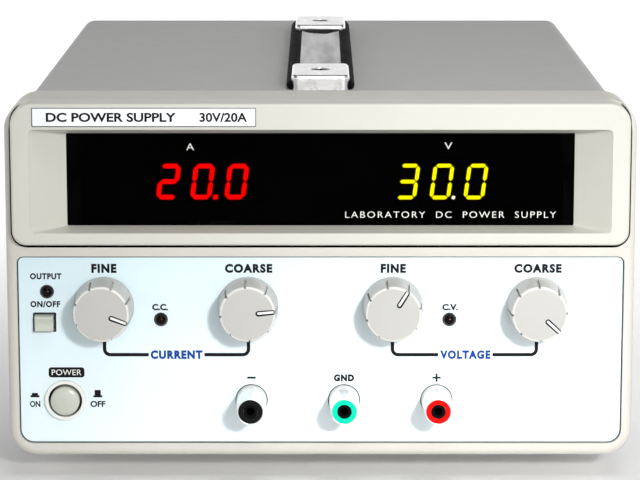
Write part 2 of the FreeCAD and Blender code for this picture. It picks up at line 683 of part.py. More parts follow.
def rear_panel():
    """The rear plate, with side flanges and openings for the fan, the inlet and the selector."""
    inner = "(cover_width / 2 - sheet - 0.3)"
    plate = new_body("rear_sheet")
    outline = rounded(front_sketch(plate, "rear_face"), "-" + inner, inner, 0.3,
                      "cover_top - sheet - 0.3", "cover_bend - sheet", 0.5)
    pad(plate, outline, "rear_sheet")
    flanges = [box("sheet", 12, 110, "%s * (cover_width / 2 - 1.5 * sheet - 0.3)" % side,
                   "rear_face - 12", 20) for side in (-1, 1)]
    bore = rod("fan_bore", 6, "fan_x", "rear_face - 2", "fan_level")
    inlet = box("inlet_width - 4", 6, "inlet_height - 4", "inlet_x", "rear_face - 2",
                "inlet_level - inlet_height / 2 + 2")
    selector = box("selector_width - 8", 6, "selector_height - 4", "selector_x",
                   "rear_face - 2", "selector_level - selector_height / 2 + 2")
    vents = [box("rear_vent_width", 6, "rear_vent_height",
                 "rear_vent_start + rear_vent_pitch * %d" % step, "rear_face - 2",
                 "rear_vent_low") for step in range(8)]
    screws = [rod("screw_hole", 8, x, "rear_face - 2", z) for x, z in rear_screw_places()]
    screws.append(side_drill(*side_screw_places()[3]))
    item = cut(fuse(plate, *flanges), bore, inlet, selector, *(vents + screws))
    node("rear_panel", item)


def rear_screw_places():
    """The two screws into the tray's upstand, then the four through the fan."""
    fan = [("fan_x + %s * fan_holes / 2" % across, "fan_level + %s * fan_holes / 2" % up)
           for across in (-1, 1) for up in (-1, 1)]
    return [(-112, 8), (112, 8)] + fan


def case_screws():
    """Slotted pan-head screws in the sides, the rear panel and the fan, as one set of solids."""
    screws = []
    for side in (-1, 1):
        for y, z in side_screw_places():
            head = cut(rod("head_radius", "head_height", along="x"), box(10, 0.9, 6, 5.4, -0.45, -3))
            screw = fuse(head, rod("screw_radius", 5.5, -5.5, along="x"))
            turn(screw, (0, 0, 1), 90 - 90 * side)
            screws.append(move(screw, "%d * cover_width / 2" % side, y, z))
    for index, (x, z) in enumerate(rear_screw_places()):
        through_fan = index > 1
        seat = "rear_face + rear_sheet" + (" + eye_thick" if through_fan else "")
        length = 8 if through_fan else 6
        head = cut(rod("head_radius", "head_height"), box(0.9, 6, 10, 0, 1.3, -5))
        screw = fuse(head, rod("screw_radius", length, 0, -length))
        screws.append(move(screw, x, seat, z))
    node("case_screws", group(*screws))


def rubber_feet():
    """Four tapered rubber feet under the tray, each recessed for its screw."""
    feet = []
    for x, y in foot_places():
        taper = cone("foot_radius", "foot_radius - 1.5", "foot_height")
        turn(taper, (1, 0, 0), 180)
        move(taper, x, y)
        feet.append(cut(taper, rod(4.5, 5, x, y, "-foot_height - 1", along="z"),
                        rod("screw_hole", 12, x, y, "-foot_height", along="z")))
    node("rubber_feet", group(*feet))


def foot_screws():
    """The screws that hold the feet to the tray."""
    seat = "-foot_height + 4"
    screws = [fuse(rod("head_radius", 2, x, y, seat + " - 2", along="z"),
                   rod("screw_radius", "foot_height + sheet - 2", x, y, seat, along="z"))
              for x, y in foot_places()]
    node("foot_screws", group(*screws))


# ---- strap handle ----------------------------------------------------------------------------

def handle_strap():
    """The flexible strap, flat on the cover; its ends are thinned and notched for the caps."""
    body = new_body("strap_blank")
    outline = rounded(sketch(body, "XY_Plane", "cover_top"), "-strap_width / 2",
                      "strap_width / 2", "strap_front", "strap_front + strap_length", 4)
    pad(body, outline, "strap_thick", inward=False)
    top = "cover_top + strap_thick"
    round_edges(body, 1.6, lambda room: abs(room.ZMin - number(top)) < 0.01)
    ends = [box("cap_width + 0.2", "cap_length + 11.4", "strap_thick", 0, y, "cover_top + cap_lift")
            for y in ("strap_front - 10", "strap_front + strap_length - cap_length - 1.4")]
    notches = [box("cap_width + 0.2", "10 + cap_sheet", "strap_thick + 1", 0, y, "cover_top - 1")
               for y in ("strap_front - 10", "strap_front + strap_length - cap_sheet")]
    node("handle_strap", cut(body, *(ends + notches + handle_holes("cover_top - 1", 10))))


def handle_cap(name, middle, angle):
    """A pressed metal end cap: its front wall reaches the cover and its screw seat is dished."""
    body = new_body(name)
    half = "cap_width / 2"
    outline = rounded(sketch(body, "XY_Plane"), "-" + half, half, "-cap_length / 2",
                      "cap_length / 2", 3)
    pad(body, outline, "cap_height", inward=False)
    round_edges(body, 1.6, lambda room: room.ZMin > number("cap_height") - 0.01)
    seat = circle(sketch(body, "XY_Plane", "cap_height"), 4.4)
    pocket(body, seat, "cap_dish")
    pocket(body, circle(sketch(body, "XY_Plane", "cap_height"), "screw_hole"), "cap_height")
    under = polygon(sketch(body, "XY_Plane", "cap_lift"), [
        ("-cap_width", "cap_sheet - cap_length / 2"), ("cap_width", "cap_sheet - cap_length / 2"),
        ("cap_width", "cap_length"), ("-cap_width", "cap_length")])
    pocket(body, under, "cap_lift + 1")
    turn(body, (0, 0, 1), angle)
    node(name, body, 0, middle, "cover_top")


def handle_screws():
    """Two cross-recess screws sunk in the caps, through the strap's ends into the cover."""
    screws = []
    for y in cap_middles():
        head = cut(rod("head_radius", "cap_dish - 0.2", along="z"),
                   box(5, 1, 1, 0, -0.5, 0.5), box(1, 5, 1, 0, -2.5, 0.5))
        stem = rod("screw_radius", "cap_height + 2", 0, 0, "-cap_height - 2", along="z")
        screws.append(move(fuse(head, stem), 0, y, "cover_top + cap_height - cap_dish"))
    node("handle_screws", group(*screws))


# ---- fan -------------------------------------------------------------------------------------

def fan_frame():
    """The square fan housing with its motor base on four arms."""
    front = "rear_face - fan_thick"
    block = box("fan_size", "fan_thick", "fan_size", "fan_x", front, "fan_level - fan_size / 2")
    bore = rod("fan_bore", 40, "fan_x", front + " - 2", "fan_level")
    holes = [rod("screw_hole", 40, x, front + " - 2", z) for x, z in rear_screw_places()[2:]]
    base = rod("hub_radius", "fan_base", "fan_x", front, "fan_level")
    arms = [box("fan_bore * 2 + 1", "fan_base", "fan_arm", "fan_x", front,
                "fan_level - fan_arm / 2"),
            box("fan_arm", "fan_base", "fan_bore * 2 + 1", "fan_x", front,
                "fan_level - fan_bore - 0.5")]
    bush = rod("fan_arm", 4, "fan_x", front + " + fan_base", "fan_level")
    bearing = rod("axle_radius + running_gap", 8, "fan_x", front + " + 1", "fan_level")
    node("fan_frame", cut(fuse(cut(block, bore, *holes), base, bush, *arms), bearing))


def fan_rotor():
    """The hub with its axle and seven pitched blades."""
    front = "rear_face - fan_thick"
    cup = cut(rod("hub_radius", "hub_length", 0, 4, 0), rod("hub_radius - 2", 10, 0, 3, 0))
    axle = rod("axle_radius", 12, 0, 1.5, 0)
    sweep = cut(rod("blade_radius", 16, 0, 5, 0), rod("hub_radius - 1", 30, 0, 0, 0))
    blades = []
    for index in range(DIMENSIONS["fan_blades"]):
        blade = group(box(60, "blade_thick", 24, 0, "-blade_thick / 2", "hub_radius - 3"))
        turn(blade, (0, 0, 1), DIMENSIONS["blade_pitch_angle"])
        move(blade, 0, "4 + hub_length / 2")
        blades.append(turn(group(blade), (0, 1, 0), index * 360 / DIMENSIONS["fan_blades"]))
    wings = document.addObject("Part::MultiCommon", "wings")
    wings.Shapes = [group(*blades), sweep]
    node("fan_rotor", fuse(cup, axle, wings), "fan_x", front, "fan_level")


def fan_guard():
    """The wire finger guard on the rear panel: rings, crossed spokes and screw eyes."""
    level = "case_depth + rear_reach - wire"
    rings = [hoop(radius, "wire", "fan_x", level, "fan_level") for radius in (10, 19, 28, 37)]
    spokes = []
    for angle in (45, 135):
        spoke = rod("wire", "fan_holes * sqrt(2)", 0, 0, 0, along="x")
        move(spoke, "-fan_holes / sqrt(2)")
        arm = group(spoke)
        turn(arm, (0, 1, 0), angle)
        spokes.append(move(arm, "fan_x", level + " - 1.8 * wire", "fan_level"))
    back = "rear_face + rear_sheet"
    eyes, drills = [], []
    for x, z in rear_screw_places()[2:]:
        eyes.append(rod("eye_radius", "eye_thick", x, back, z))
        drills.append(rod("screw_hole", 20, x, "rear_face", z))
        drills.append(rod("head_radius + 0.1", 8, x, back + " + eye_thick", z))
    node("fan_guard", cut(fuse(*(rings + spokes + eyes)), *drills))


# ---- mains inlet and selector ----------------------------------------------------------------

def mains_inlet():
    """The inlet housing with its keyed socket, three contact blades and the drawer's slot."""
    x, z = "inlet_x", "inlet_level"
    back = "rear_face + rear_sheet"
    flange = box("inlet_width", 2.5, "inlet_height", x, back, z + " - inlet_height / 2")
    inside = box("inlet_width - 4.4", 26, "inlet_height - 4.4", x, back + " - 26",
                 z + " - inlet_height / 2 + 2.2")
    socket = new_body("socket_space")
    side, low, high = "socket_width / 2", "socket_low", "socket_low + socket_height"
    outline = polygon(front_sketch(socket), [
        ("-" + side, low), (side, low), (side, high + " - socket_cut"),
        (side + " - socket_cut", high), ("-%s + socket_cut" % side, high),
        ("-" + side, high + " - socket_cut")])
    pad(socket, outline, 20)
    move(socket, x, back + " - socket_depth_in", z)
    slot = box("drawer_width + 2 * gap", 32.5, "drawer_height + 2 * gap", x,
               back + " - drawer_length - 1", z + " - drawer_low - gap")
    housing = cut(fuse(flange, inside), socket, slot)
    blades = [box("pin_thick", "pin_length", "pin_width", x + " + pin_pitch * %d" % step,
                  back + " - socket_depth_in", "%s + %d" % (z, up))
              for step, up in ((-1, 7), (0, 12), (1, 7))]
    node("mains_inlet", group(housing, *blades))


def fuse_drawer():
    """The small drawer under the socket, open on top, and the cartridge fuse that lies in it."""
    x, z = "inlet_x", "inlet_level"
    back = "rear_face + rear_sheet"
    low = z + " - drawer_low"
    front = box("drawer_width", "drawer_front", "drawer_height", x, back, low)
    tray = box("drawer_width", "drawer_length", "drawer_height - 2 * gap", x,
               back + " - drawer_length", low)
    well = box(6, "fuse_length + 1", 7, x, back + " - drawer_length + 1", low + " + 1.5")
    grip = box(8, 2, 2, x, back + " + drawer_front - 1.4", low + " + drawer_front")
    cartridge = rod("fuse_radius", "fuse_length", x, back + " - fuse_length - 2",
                    low + " + fuse_radius + 1.6")
    node("fuse_drawer", group(cut(fuse(front, tray), well, grip), cartridge))


def voltage_selector():
    """The recessed mains voltage selector and its sliding block."""
    x, z = "selector_x", "selector_level"
    back = "rear_face + rear_sheet"
    flange = box("selector_width", 1.4, "selector_height", x, back,
                 z + " - selector_height / 2")
    inside = box("selector_width - 8.4", "selector_body", "selector_height - 4.4", x,
                 back + " - selector_body", z + " - selector_height / 2 + 2.2")
    window = box("selector_window", 8, "selector_block", x, back + " - 4",
                 z + " - selector_block / 2")
    node("voltage_selector_body", cut(fuse(flange, inside), window))
    block = box("selector_block", 4.2, "selector_block - 0.8", x + " - selector_offset",
                back + " - 3.7", z + " - selector_block / 2 + 0.4")
    groove = box(1.2, 1, "selector_block", x + " - selector_offset", back,
                 z + " - selector_block / 2")
    node("voltage_selector_slider", cut(block, groove))


# ---- inside the case -------------------------------------------------------------------------

def transformer():
    """The mains transformer: a laminated core with two windows and its coil."""
    low = "sheet"
    core = box("6 * limb", "core_stack", "5 * limb", "core_x", "core_front", low)
    windows = [box("limb", 90, "3 * limb", "core_x + %s * 1.5 * limb" % side, "core_front - 5",
                   low + " + limb") for side in (-1, 1)]
    node("transformer_core", cut(core, *windows))
    blank = box("4 * limb - 1", "core_stack + 2 * limb - 1", "3 * limb - 1", "core_x",
                "core_front - limb + 0.5", low + " + limb + 0.5")
    hole = box("2 * limb", "core_stack", 90, "core_x", "core_front", 0)
    node("transformer_coil", cut(blank, hole))


def boards():
    """The regulator board on its standoffs and the display board with two digit blocks."""
    main = box("board_width", "board_depth", "board_thick", 0, "board_front", "board_level")
    node("main_board", main_board_plate(main))
    rows = ("board_front + standoff_inset", "board_front + board_depth - standoff_inset")
    pillars = [rod("standoff_radius", "board_level - sheet", "standoff_x * %d" % side, y, "sheet",
                   along="z") for side in (-1, 0, 1) for y in rows]
    node("board_standoffs", group(*pillars))
    display = box("display_board_width", "board_thick", "display_board_height", 0,
                  "display_board_front", "display_board_low")
    sockets = [box(20, 6, 8, x, "display_board_front + board_thick", "display_board_low + 5")
               for x in (60, -60)]
    node("display_board", fuse(display, *sockets))
    digits = [box("digit_width", "digit_depth", "digit_height", x, "digit_front", "digit_low")
              for x in (-49.5, 51.8)]
    node("digit_displays", group(*digits))


def main_board_plate(plate):
    """The board with four relays at the back and a row of chips at the front."""
    top = "board_level + board_thick"
    relays = [box("relay_width", "relay_depth", "relay_width", x, "board_front + 70", top)
              for x in (-95, -80, 62, 78)]
    chips = [box("chip_width", "chip_depth", "chip_height", x, "board_front + 20", top)
             for x in (-60, -20, 20, 60)]
    return fuse(plate, *(relays + chips))


def power_parts():
    """The reservoir capacitors, bridge rectifier, heat sink and pass transistors."""
    top = "board_level + board_thick"
    cans = [rod("can_radius", "can_height", "can_middle + can_pitch * %d" % place,
                "board_front + can_front", top, along="z") for place in (-1, 0, 1)]
    node("filter_capacitors", group(*cans))
    block = box("bridge_size", "bridge_size", "bridge_height", "bridge_x", "bridge_front",
                "sheet")
    tags = [box(0.8, "bridge_tag_width", "bridge_tag", "bridge_x + %s" % across,
                "bridge_front + 4 + %d" % along, "sheet + bridge_height")
            for across in ("-bridge_tag_reach", "bridge_tag_reach") for along in (0, 14)]
    node("bridge_rectifier", fuse(block, *tags))
    base = box("sink_base", "sink_length", "sink_height", "sink_x", "sink_front", "sink_low")
    fins = [box("fin_reach", "sink_length", "fin_thick", "sink_x + sink_base / 2 + fin_reach / 2",
                "sink_front", "sink_low + fin_pitch * %d" % step) for step in range(9)]
    legs = [box("sink_base", "sink_leg", "sink_low - sheet", "sink_x", y, "sheet")
            for y in ("sink_front + 4", "sink_front + sink_length - sink_leg - 4")]
    node("heatsink", fuse(base, *(fins + legs)))
    packs = []
    for step in range(4):
        y = "sink_front + 8 + transistor_pitch * %d" % step
        x = "sink_x - sink_base / 2 - transistor_thick / 2"
        pack = box("transistor_thick", "transistor_width", "transistor_height", x, y,
                   "sink_low + 40")
        legs = box(1, "transistor_width - 6", 14, x, y + " + 3", "sink_low + 27")
        packs.append(fuse(pack, legs))
    node("power_transistors", group(*packs))


# ---- assembly --------------------------------------------------------------------------------

def check_everything():
    """Stops on any failed object or any sub-part without a sound solid shape."""
    document.recompute()
    for item in document.Objects:
        if "Invalid" in item.State or "Error" in item.State:
            raise RuntimeError("%s (%s) is in state %s" % (item.Label, item.Name, item.State))
    for item in nodes:
        if item.Shape.isNull() or not item.Shape.isValid() or not item.Shape.Solids:
            raise RuntimeError("%s has no sound shape" % item.Label)


def write_parts():
    os.makedirs("parts", exist_ok=True)
    for item in nodes:
        item.Shape.exportStep("parts/%s.step" % item.Label)


front_bezel()
display_hood()
display_window()
label_plate()
control_panel()
panel_overlay()
for knob_name, (knob_place, knob_angle) in KNOBS.items():
    knob(knob_name, knob_place, knob_angle)
    pot_shaft(knob_name.replace("knob", "shaft"), knob_place)
potentiometers()
panel_nuts()
power_button()
output_button()
indicator_leds()
post_hardware()
for post_name, post_place in POSTS.items():
    post_nut(post_name, post_place)
top_cover()
bottom_chassis()
rear_panel()
case_screws()
rubber_feet()
foot_screws()
handle_strap()
handle_cap("handle_cap_front", cap_middles()[0], 0)
handle_cap("handle_cap_rear", cap_middles()[1], 180)
handle_screws()
fan_frame()
fan_rotor()
fan_guard()
mains_inlet()
fuse_drawer()
voltage_selector()
transformer()
boards()
power_parts()
check_everything()
write_parts()
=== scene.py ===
"""Bench power supply: finishes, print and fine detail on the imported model.

Shapes are worked out in the case's own frame, in millimetres: x to the right, y into the case
from the moulded frame's front plane, z up from the frame's lower edge. ORIGIN carries them to
the row's frame.
"""
import bmesh
import bpy
import json
import math
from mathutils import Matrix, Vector

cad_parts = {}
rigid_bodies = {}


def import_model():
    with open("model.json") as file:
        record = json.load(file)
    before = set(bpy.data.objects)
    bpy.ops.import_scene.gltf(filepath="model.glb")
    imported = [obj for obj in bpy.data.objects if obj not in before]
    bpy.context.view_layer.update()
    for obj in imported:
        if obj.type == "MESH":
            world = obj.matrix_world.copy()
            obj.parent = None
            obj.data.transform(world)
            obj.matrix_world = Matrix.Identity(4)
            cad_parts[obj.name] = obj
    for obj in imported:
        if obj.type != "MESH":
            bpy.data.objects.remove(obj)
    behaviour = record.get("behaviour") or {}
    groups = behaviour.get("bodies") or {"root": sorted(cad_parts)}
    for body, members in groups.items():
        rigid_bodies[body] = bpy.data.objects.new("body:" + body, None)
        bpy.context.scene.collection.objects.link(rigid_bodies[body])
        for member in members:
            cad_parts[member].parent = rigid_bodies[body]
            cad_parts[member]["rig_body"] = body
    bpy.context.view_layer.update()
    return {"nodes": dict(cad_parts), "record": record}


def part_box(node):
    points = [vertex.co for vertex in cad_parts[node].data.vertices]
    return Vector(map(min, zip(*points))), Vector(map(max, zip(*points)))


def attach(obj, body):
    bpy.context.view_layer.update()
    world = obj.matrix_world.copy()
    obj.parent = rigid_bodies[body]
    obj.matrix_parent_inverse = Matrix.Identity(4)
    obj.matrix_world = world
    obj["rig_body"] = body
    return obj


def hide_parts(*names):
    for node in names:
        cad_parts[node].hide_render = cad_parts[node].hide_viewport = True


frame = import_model()

MM = 0.001
FULL_TURN = 2 * math.pi
MERGE = 1e-7  # vertices nearer than this, in metres, are one vertex
bezel_low, bezel_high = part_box("front_bezel")
ORIGIN = Vector(((bezel_low.x + bezel_high.x) / 2, bezel_low.y, bezel_low.z))


def span(node):
    """The lowest and highest corners of a CAD node, in the case's frame."""
    return [(corner - ORIGIN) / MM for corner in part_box(node)]


def middle(node):
    """The middle of a CAD node's box, in the case's frame."""
    low, high = span(node)
    return (low + high) / 2


# ---- finishes ----

NOISE_SPAN = (0.3, 0.7)  # the values that a noise hardly ever leaves
EDGE_SPAN = (0.52, 0.60)  # pointiness from just off flat to a clear convex edge
WAVE_FACTOR = 20  # a wave texture takes the sine of this times its place
MIX_FIRST, MIX_SECOND, MIX_RESULT = 6, 7, 2  # a Mix node's colour sockets, by place
WORN_BRIGHTER, PRINT_WORN = 1.6, 0.85  # how a rubbed edge and rubbed ink differ from the colour


class Finish:
    """A Principled material, with short ways to add the texture nodes that drive it."""

    def __init__(self, name, **sockets):
        self.material = bpy.data.materials.new(name)
        self.material.use_nodes = True
        self.tree = self.material.node_tree
        self.shader = self.tree.nodes["Principled BSDF"]
        for socket, value in sockets.items():
            self.shader.inputs[socket.replace("_", " ")].default_value = value

    def add(self, kind, **settings):
        node = self.tree.nodes.new(kind)
        for key, value in settings.items():
            if key[0].isupper():
                node.inputs[key.replace("_", " ")].default_value = value
            else:
                setattr(node, key, value)
        return node

    def link(self, output, socket):
        self.tree.links.new(output, socket)

    def drive(self, socket, output):
        self.link(output, self.shader.inputs[socket])

    def place(self, stretch=(1, 1, 1)):
        """Object coordinates in millimetres, divided by the stretch along each axis."""
        mapping = self.add("ShaderNodeMapping")
        mapping.inputs["Scale"].default_value = [1 / (MM * part) for part in stretch]
        self.link(self.add("ShaderNodeTexCoord").outputs["Object"], mapping.inputs["Vector"])
        return mapping.outputs["Vector"]

    def noise(self, size, detail=3, stretch=(1, 1, 1)):
        """A noise from 0 to 1 whose features are about size millimetres."""
        node = self.add("ShaderNodeTexNoise", Scale=1 / size, Detail=detail)
        self.link(self.place(stretch), node.inputs["Vector"])
        return node.outputs["Fac"]

    def bands(self, pitch, axis, distortion=0.0):
        """Even bands across one axis, a pitch in millimetres apart."""
        node = self.add("ShaderNodeTexWave", bands_direction=axis, Distortion=distortion,
                        Scale=FULL_TURN / (WAVE_FACTOR * pitch))
        self.link(self.place(), node.inputs["Vector"])
        return node.outputs["Fac"]

    def cell_borders(self, size, stretch):
        """The distance from the nearest border between irregular cells."""
        node = self.add("ShaderNodeTexVoronoi", feature="DISTANCE_TO_EDGE", Scale=1 / size)
        self.link(self.place(stretch), node.inputs["Vector"])
        return node.outputs["Distance"]

    def remap(self, value, low, high, out_low=0.0, out_high=1.0):
        node = self.add("ShaderNodeMapRange", From_Min=low, From_Max=high, To_Min=out_low,
                        To_Max=out_high)
        self.link(value, node.inputs["Value"])
        return node.outputs["Result"]

    def between(self, low, high, size, detail=3, stretch=(1, 1, 1)):
        """A noise that wanders between two values."""
        return self.remap(self.noise(size, detail, stretch), *NOISE_SPAN, low, high)

    def blend(self, share, first, second):
        """A colour between two, each a tuple or another node's output."""
        node = self.add("ShaderNodeMix", data_type="RGBA")
        self.link(share, node.inputs["Factor"])
        for socket, colour in ((node.inputs[MIX_FIRST], first), (node.inputs[MIX_SECOND], second)):
            if isinstance(colour, tuple):
                socket.default_value = (*colour, 1)
            else:
                self.link(colour, socket)
        return node.outputs[MIX_RESULT]

    def edges(self):
        """0 on flat stretches, rising to 1 on the mesh's convex edges."""
        point = self.add("ShaderNodeNewGeometry").outputs["Pointiness"]
        return self.remap(point, *EDGE_SPAN)

    def bump(self, value, depth):
        """Relief that follows a value, a depth in millimetres high."""
        node = self.add("ShaderNodeBump", Distance=depth * MM)
        self.link(value, node.inputs["Height"])
        self.drive("Normal", node.outputs["Normal"])


def shade(colour, factor):
    """A colour made brighter or darker by a factor, up to white."""
    return tuple(min(1.0, part * factor) for part in colour)


GLOSS_BLOTCH = 0.3  # the size of patches in the gloss, against those in the colour


def surface(name, colour, roughness, mottle=0.03, blotch=22, grain=0.45, relief=0.012,
            wear=0.12, spread=0.06, stretch=(1, 1, 1), **sockets):
    """A worked surface: slow colour drift, fine grain in relief, uneven gloss and rubbed edges."""
    look = Finish(name, **sockets)
    drift = look.noise(blotch, 2)
    colours = look.blend(drift, shade(colour, 1 - mottle), shade(colour, 1 + mottle))
    worn = look.blend(look.remap(look.edges(), 0, 1, 0, wear), colours,
                      shade(colour, WORN_BRIGHTER))
    look.drive("Base Color", worn)
    fine = look.noise(grain, 3, stretch)
    look.drive("Roughness",
               look.between(roughness - spread, roughness + spread, blotch * GLOSS_BLOTCH, 4, stretch))
    look.bump(fine, relief)
    return look


def moulded(name, colour, roughness, **more):
    """Moulded plastic, rubber or paint."""
    return surface(name, colour, roughness, **more).material


def metal(name, colour, roughness, **more):
    """Bare or plated metal, drawn or brushed along its stretch."""
    return surface(name, colour, roughness, Metallic=1.0, wear=0.05, **more).material


LIGHT_FALL_HALF, LIGHT_FALL_TOP, LIGHT_FALL_FOOT = 128, 96, 16  # how far the painted light across the sheet reaches


def overlay_print():
    """Printed polycarbonate with a fine grain, its pale blue made paler towards the lower right as painted
    light.
    """
    look = Finish("overlay_print", Coat_Weight=0.15, Coat_Roughness=0.35)
    place = look.add("ShaderNodeSeparateXYZ")
    look.link(look.place(), place.inputs["Vector"])
    # Painted light: the blue pales towards the right and the foot, where the sheet is lit more.
    across = look.remap(place.outputs["X"], -LIGHT_FALL_HALF, LIGHT_FALL_HALF, 0, 0.75)
    down = look.remap(place.outputs["Z"], LIGHT_FALL_TOP, LIGHT_FALL_FOOT, 0, 0.6)
    both = look.add("ShaderNodeMath", operation="ADD", use_clamp=True)
    look.link(across, both.inputs[0])
    look.link(down, both.inputs[1])
    light_fall = look.blend(both.outputs["Value"], (0.62, 0.77, 0.82), (0.83, 0.90, 0.93))
    dots = look.remap(look.noise(0.35, 2), 0.4, 0.6, 0, 0.04)
    look.drive("Base Color", look.blend(dots, light_fall, (0.45, 0.6, 0.68)))
    look.drive("Roughness", look.between(0.4, 0.5, 6))
    look.bump(look.noise(0.3, 2), 0.006)
    return look.material


def smoked_window():
    """Dark tinted acrylic, faintly hazy."""
    look = Finish("smoked_window", Transmission_Weight=1.0, IOR=1.08)
    haze = look.noise(40, 3)
    look.drive("Base Color", look.blend(haze, (0.020, 0.019, 0.021), (0.025, 0.023, 0.026)))
    look.drive("Roughness", look.between(0.02, 0.05, 12, 4))
    return look.material


def lamp_lens():
    """Unlit red lens: nearly black glass-like plastic under a clear gloss."""
    look = Finish("lamp_red", Coat_Weight=0.2, Coat_Roughness=0.03, Specular_IOR_Level=0.05)
    look.drive("Base Color",
               look.blend(look.noise(2), (0.003, 0.0005, 0.0005), (0.006, 0.0006, 0.0006)))
    look.drive("Roughness", look.between(0.12, 0.22, 1.5, 2))
    look.bump(look.noise(0.6, 2), 0.004)
    return look.material


def laminated_core():
    """The edges of a stack of half-millimetre steel sheets."""
    look = surface("core_steel", (0.16, 0.15, 0.15), 0.5, Metallic=0.6, wear=0.05)
    look.bump(look.bands(0.5, "Y"), 0.15)
    return look.material


def wound_coil():
    """Varnished copper wire, wound turn by turn."""
    look = surface("coil_winding", (0.42, 0.17, 0.06), 0.35, Metallic=0.7, wear=0.05)
    look.bump(look.bands(1.2, "Z", 0.4), 0.5)
    return look.material


def circuit_board():
    """Green solder mask with the paler pattern of the tracks under it."""
    look = Finish("board_green", Coat_Weight=0.4, Coat_Roughness=0.2)
    tracks = look.remap(look.cell_borders(4, (1, 2.4, 1)), 0.06, 0.09)
    look.drive("Base Color", look.blend(tracks, (0.03, 0.20, 0.08), (0.012, 0.11, 0.04)))
    look.drive("Roughness", look.between(0.3, 0.45, 3))
    look.bump(tracks, 0.05)
    return look.material


def sleeve():
    """Shrunk sleeve with the pale polarity stripe of a reservoir capacitor."""
    look = Finish("capacitor_sleeve", Coat_Weight=0.2, Coat_Roughness=0.25)
    stripe = look.remap(look.bands(35, "X"), 0.9, 0.97)
    look.drive("Base Color", look.blend(stripe, (0.012, 0.018, 0.05), (0.25, 0.27, 0.30)))
    look.drive("Roughness", look.between(0.3, 0.42, 4))
    look.bump(look.noise(1.5), 0.03)
    return look.material


SEGMENT_GLOW = 60.0


def lit(name, colour):
    """A lit segment, with a slight unevenness in its glow."""
    look = Finish(name, Roughness=0.4)
    warm = look.noise(3, 2)
    look.drive("Emission Color", look.blend(warm, colour, shade(colour, 0.85)))
    look.shader.inputs["Emission Strength"].default_value = SEGMENT_GLOW
    look.drive("Base Color", look.blend(warm, shade(colour, 0.3), shade(colour, 0.2)))
    return look.material


def ink(name, colour):
    """Printed ink, slightly uneven in tone and gloss."""
    look = Finish(name, Specular_IOR_Level=0.15)
    look.drive("Base Color", look.blend(look.noise(0.4), colour, shade(colour, PRINT_WORN)))
    look.drive("Roughness", look.between(0.42, 0.58, 1, 2))
    look.bump(look.noise(0.2, 2), 0.003)
    return look.material


def case_paint(name):
    """Grey enamel with a fine even texture, and no edge wear, which would smear over big sheets."""
    return moulded(name, (0.475, 0.475, 0.47), 0.62, grain=0.9, relief=0.03, wear=0,
                   Specular_IOR_Level=0.28)


LOOKS = {
    "frame_plastic": moulded("frame_plastic", (0.57, 0.55, 0.50), 0.48),
    "hood_plastic": moulded("hood_plastic", (0.57, 0.565, 0.51), 0.45),
    "smoked_window": smoked_window(),
    "plate_metal": metal("plate_metal", (0.93, 0.95, 0.97), 0.5, stretch=(60, 1, 1), relief=0.006),
    "panel_steel": moulded("panel_steel", (0.55, 0.58, 0.6), 0.45, grain=0.8),
    "overlay_print": overlay_print(),
    "knob_plastic": moulded("knob_plastic", (0.46, 0.455, 0.43), 0.36, relief=0.006, grain=0.3),
    "shaft_steel": metal("shaft_steel", (0.6, 0.6, 0.6), 0.3, stretch=(1, 30, 1)),
    "pot_case": moulded("pot_case", (0.05, 0.10, 0.18), 0.45),
    "plated_steel": metal("plated_steel", (0.68, 0.69, 0.70), 0.28, relief=0.02, blotch=3),
    "button_plastic": moulded("button_plastic", (0.50, 0.52, 0.45), 0.28, relief=0.004, grain=0.3),
    "switch_plastic": moulded("switch_plastic", (0.018, 0.018, 0.02), 0.42),
    "lamp_red": lamp_lens(),
    "collar_plastic": moulded("collar_plastic", (0.74, 0.74, 0.72), 0.35),
    "nickel": metal("nickel", (0.90, 0.90, 0.89), 0.36, relief=0.01, blotch=5),
    "insert_black": moulded("insert_black", (0.004, 0.004, 0.0045), 0.4, wear=0.02, Specular_IOR_Level=0.12),
    "insert_green": moulded("insert_green", (0.0, 0.78, 0.42), 0.4, wear=0.02, Specular_IOR_Level=0.12),
    "insert_red": moulded("insert_red", (0.82, 0.002, 0.001), 0.4, wear=0.0, Specular_IOR_Level=0.1),
    "cover_paint": case_paint("cover_paint"),
    "tray_steel": metal("tray_steel", (0.60, 0.61, 0.60), 0.38, blotch=8, mottle=0.12),
    "rear_paint": case_paint("rear_paint"),
    "foot_rubber": moulded("foot_rubber", (0.02, 0.02, 0.021), 0.75, relief=0.02),
    "strap_vinyl": moulded("strap_vinyl", (0.004, 0.004, 0.005), 0.7, relief=0.03, grain=0.7, wear=0.02,
                           Specular_IOR_Level=0.03),
    "cap_chrome": metal("cap_chrome", (0.90, 0.89, 0.89), 0.30, relief=0.004, blotch=9, spread=0.04),
    "fan_plastic": moulded("fan_plastic", (0.016, 0.016, 0.018), 0.38),
    "guard_chrome": metal("guard_chrome", (0.76, 0.76, 0.77), 0.2, relief=0.01),
    "selector_red": moulded("selector_red", (0.55, 0.015, 0.012), 0.38),
    "core_steel": laminated_core(),
    "coil_winding": wound_coil(),
    "capacitor_sleeve": sleeve(),
    "board_green": circuit_board(),
    "standoff_brass": metal("standoff_brass", (0.72, 0.55, 0.25), 0.3, stretch=(1, 1, 20)),
    "sink_aluminium": moulded("sink_aluminium", (0.05, 0.05, 0.055), 0.4, Metallic=0.7,
                              stretch=(1, 40, 1), relief=0.03),
    "part_black": moulded("part_black", (0.02, 0.02, 0.022), 0.5),
}
INKS = {
    "black": ink("black_ink", (0.004, 0.004, 0.006)),
    "blue": ink("blue_ink", (0.001, 0.05, 0.30)),
    "white": ink("white_ink", (0.88, 0.88, 0.86)),
    # The dark ink also draws the painted shadow line round the printed sheet.
    "dark": ink("dark_ink", (0.02, 0.05, 0.06)),
}
GLOW = {
    "red": lit("lit_red", (1.0, 0.0, 0.0)),
    "yellow": lit("lit_yellow", (1.0, 1.0, 0.0)),
    "pale": lit("lit_pale", (1.0, 1.0, 0.6)),
}
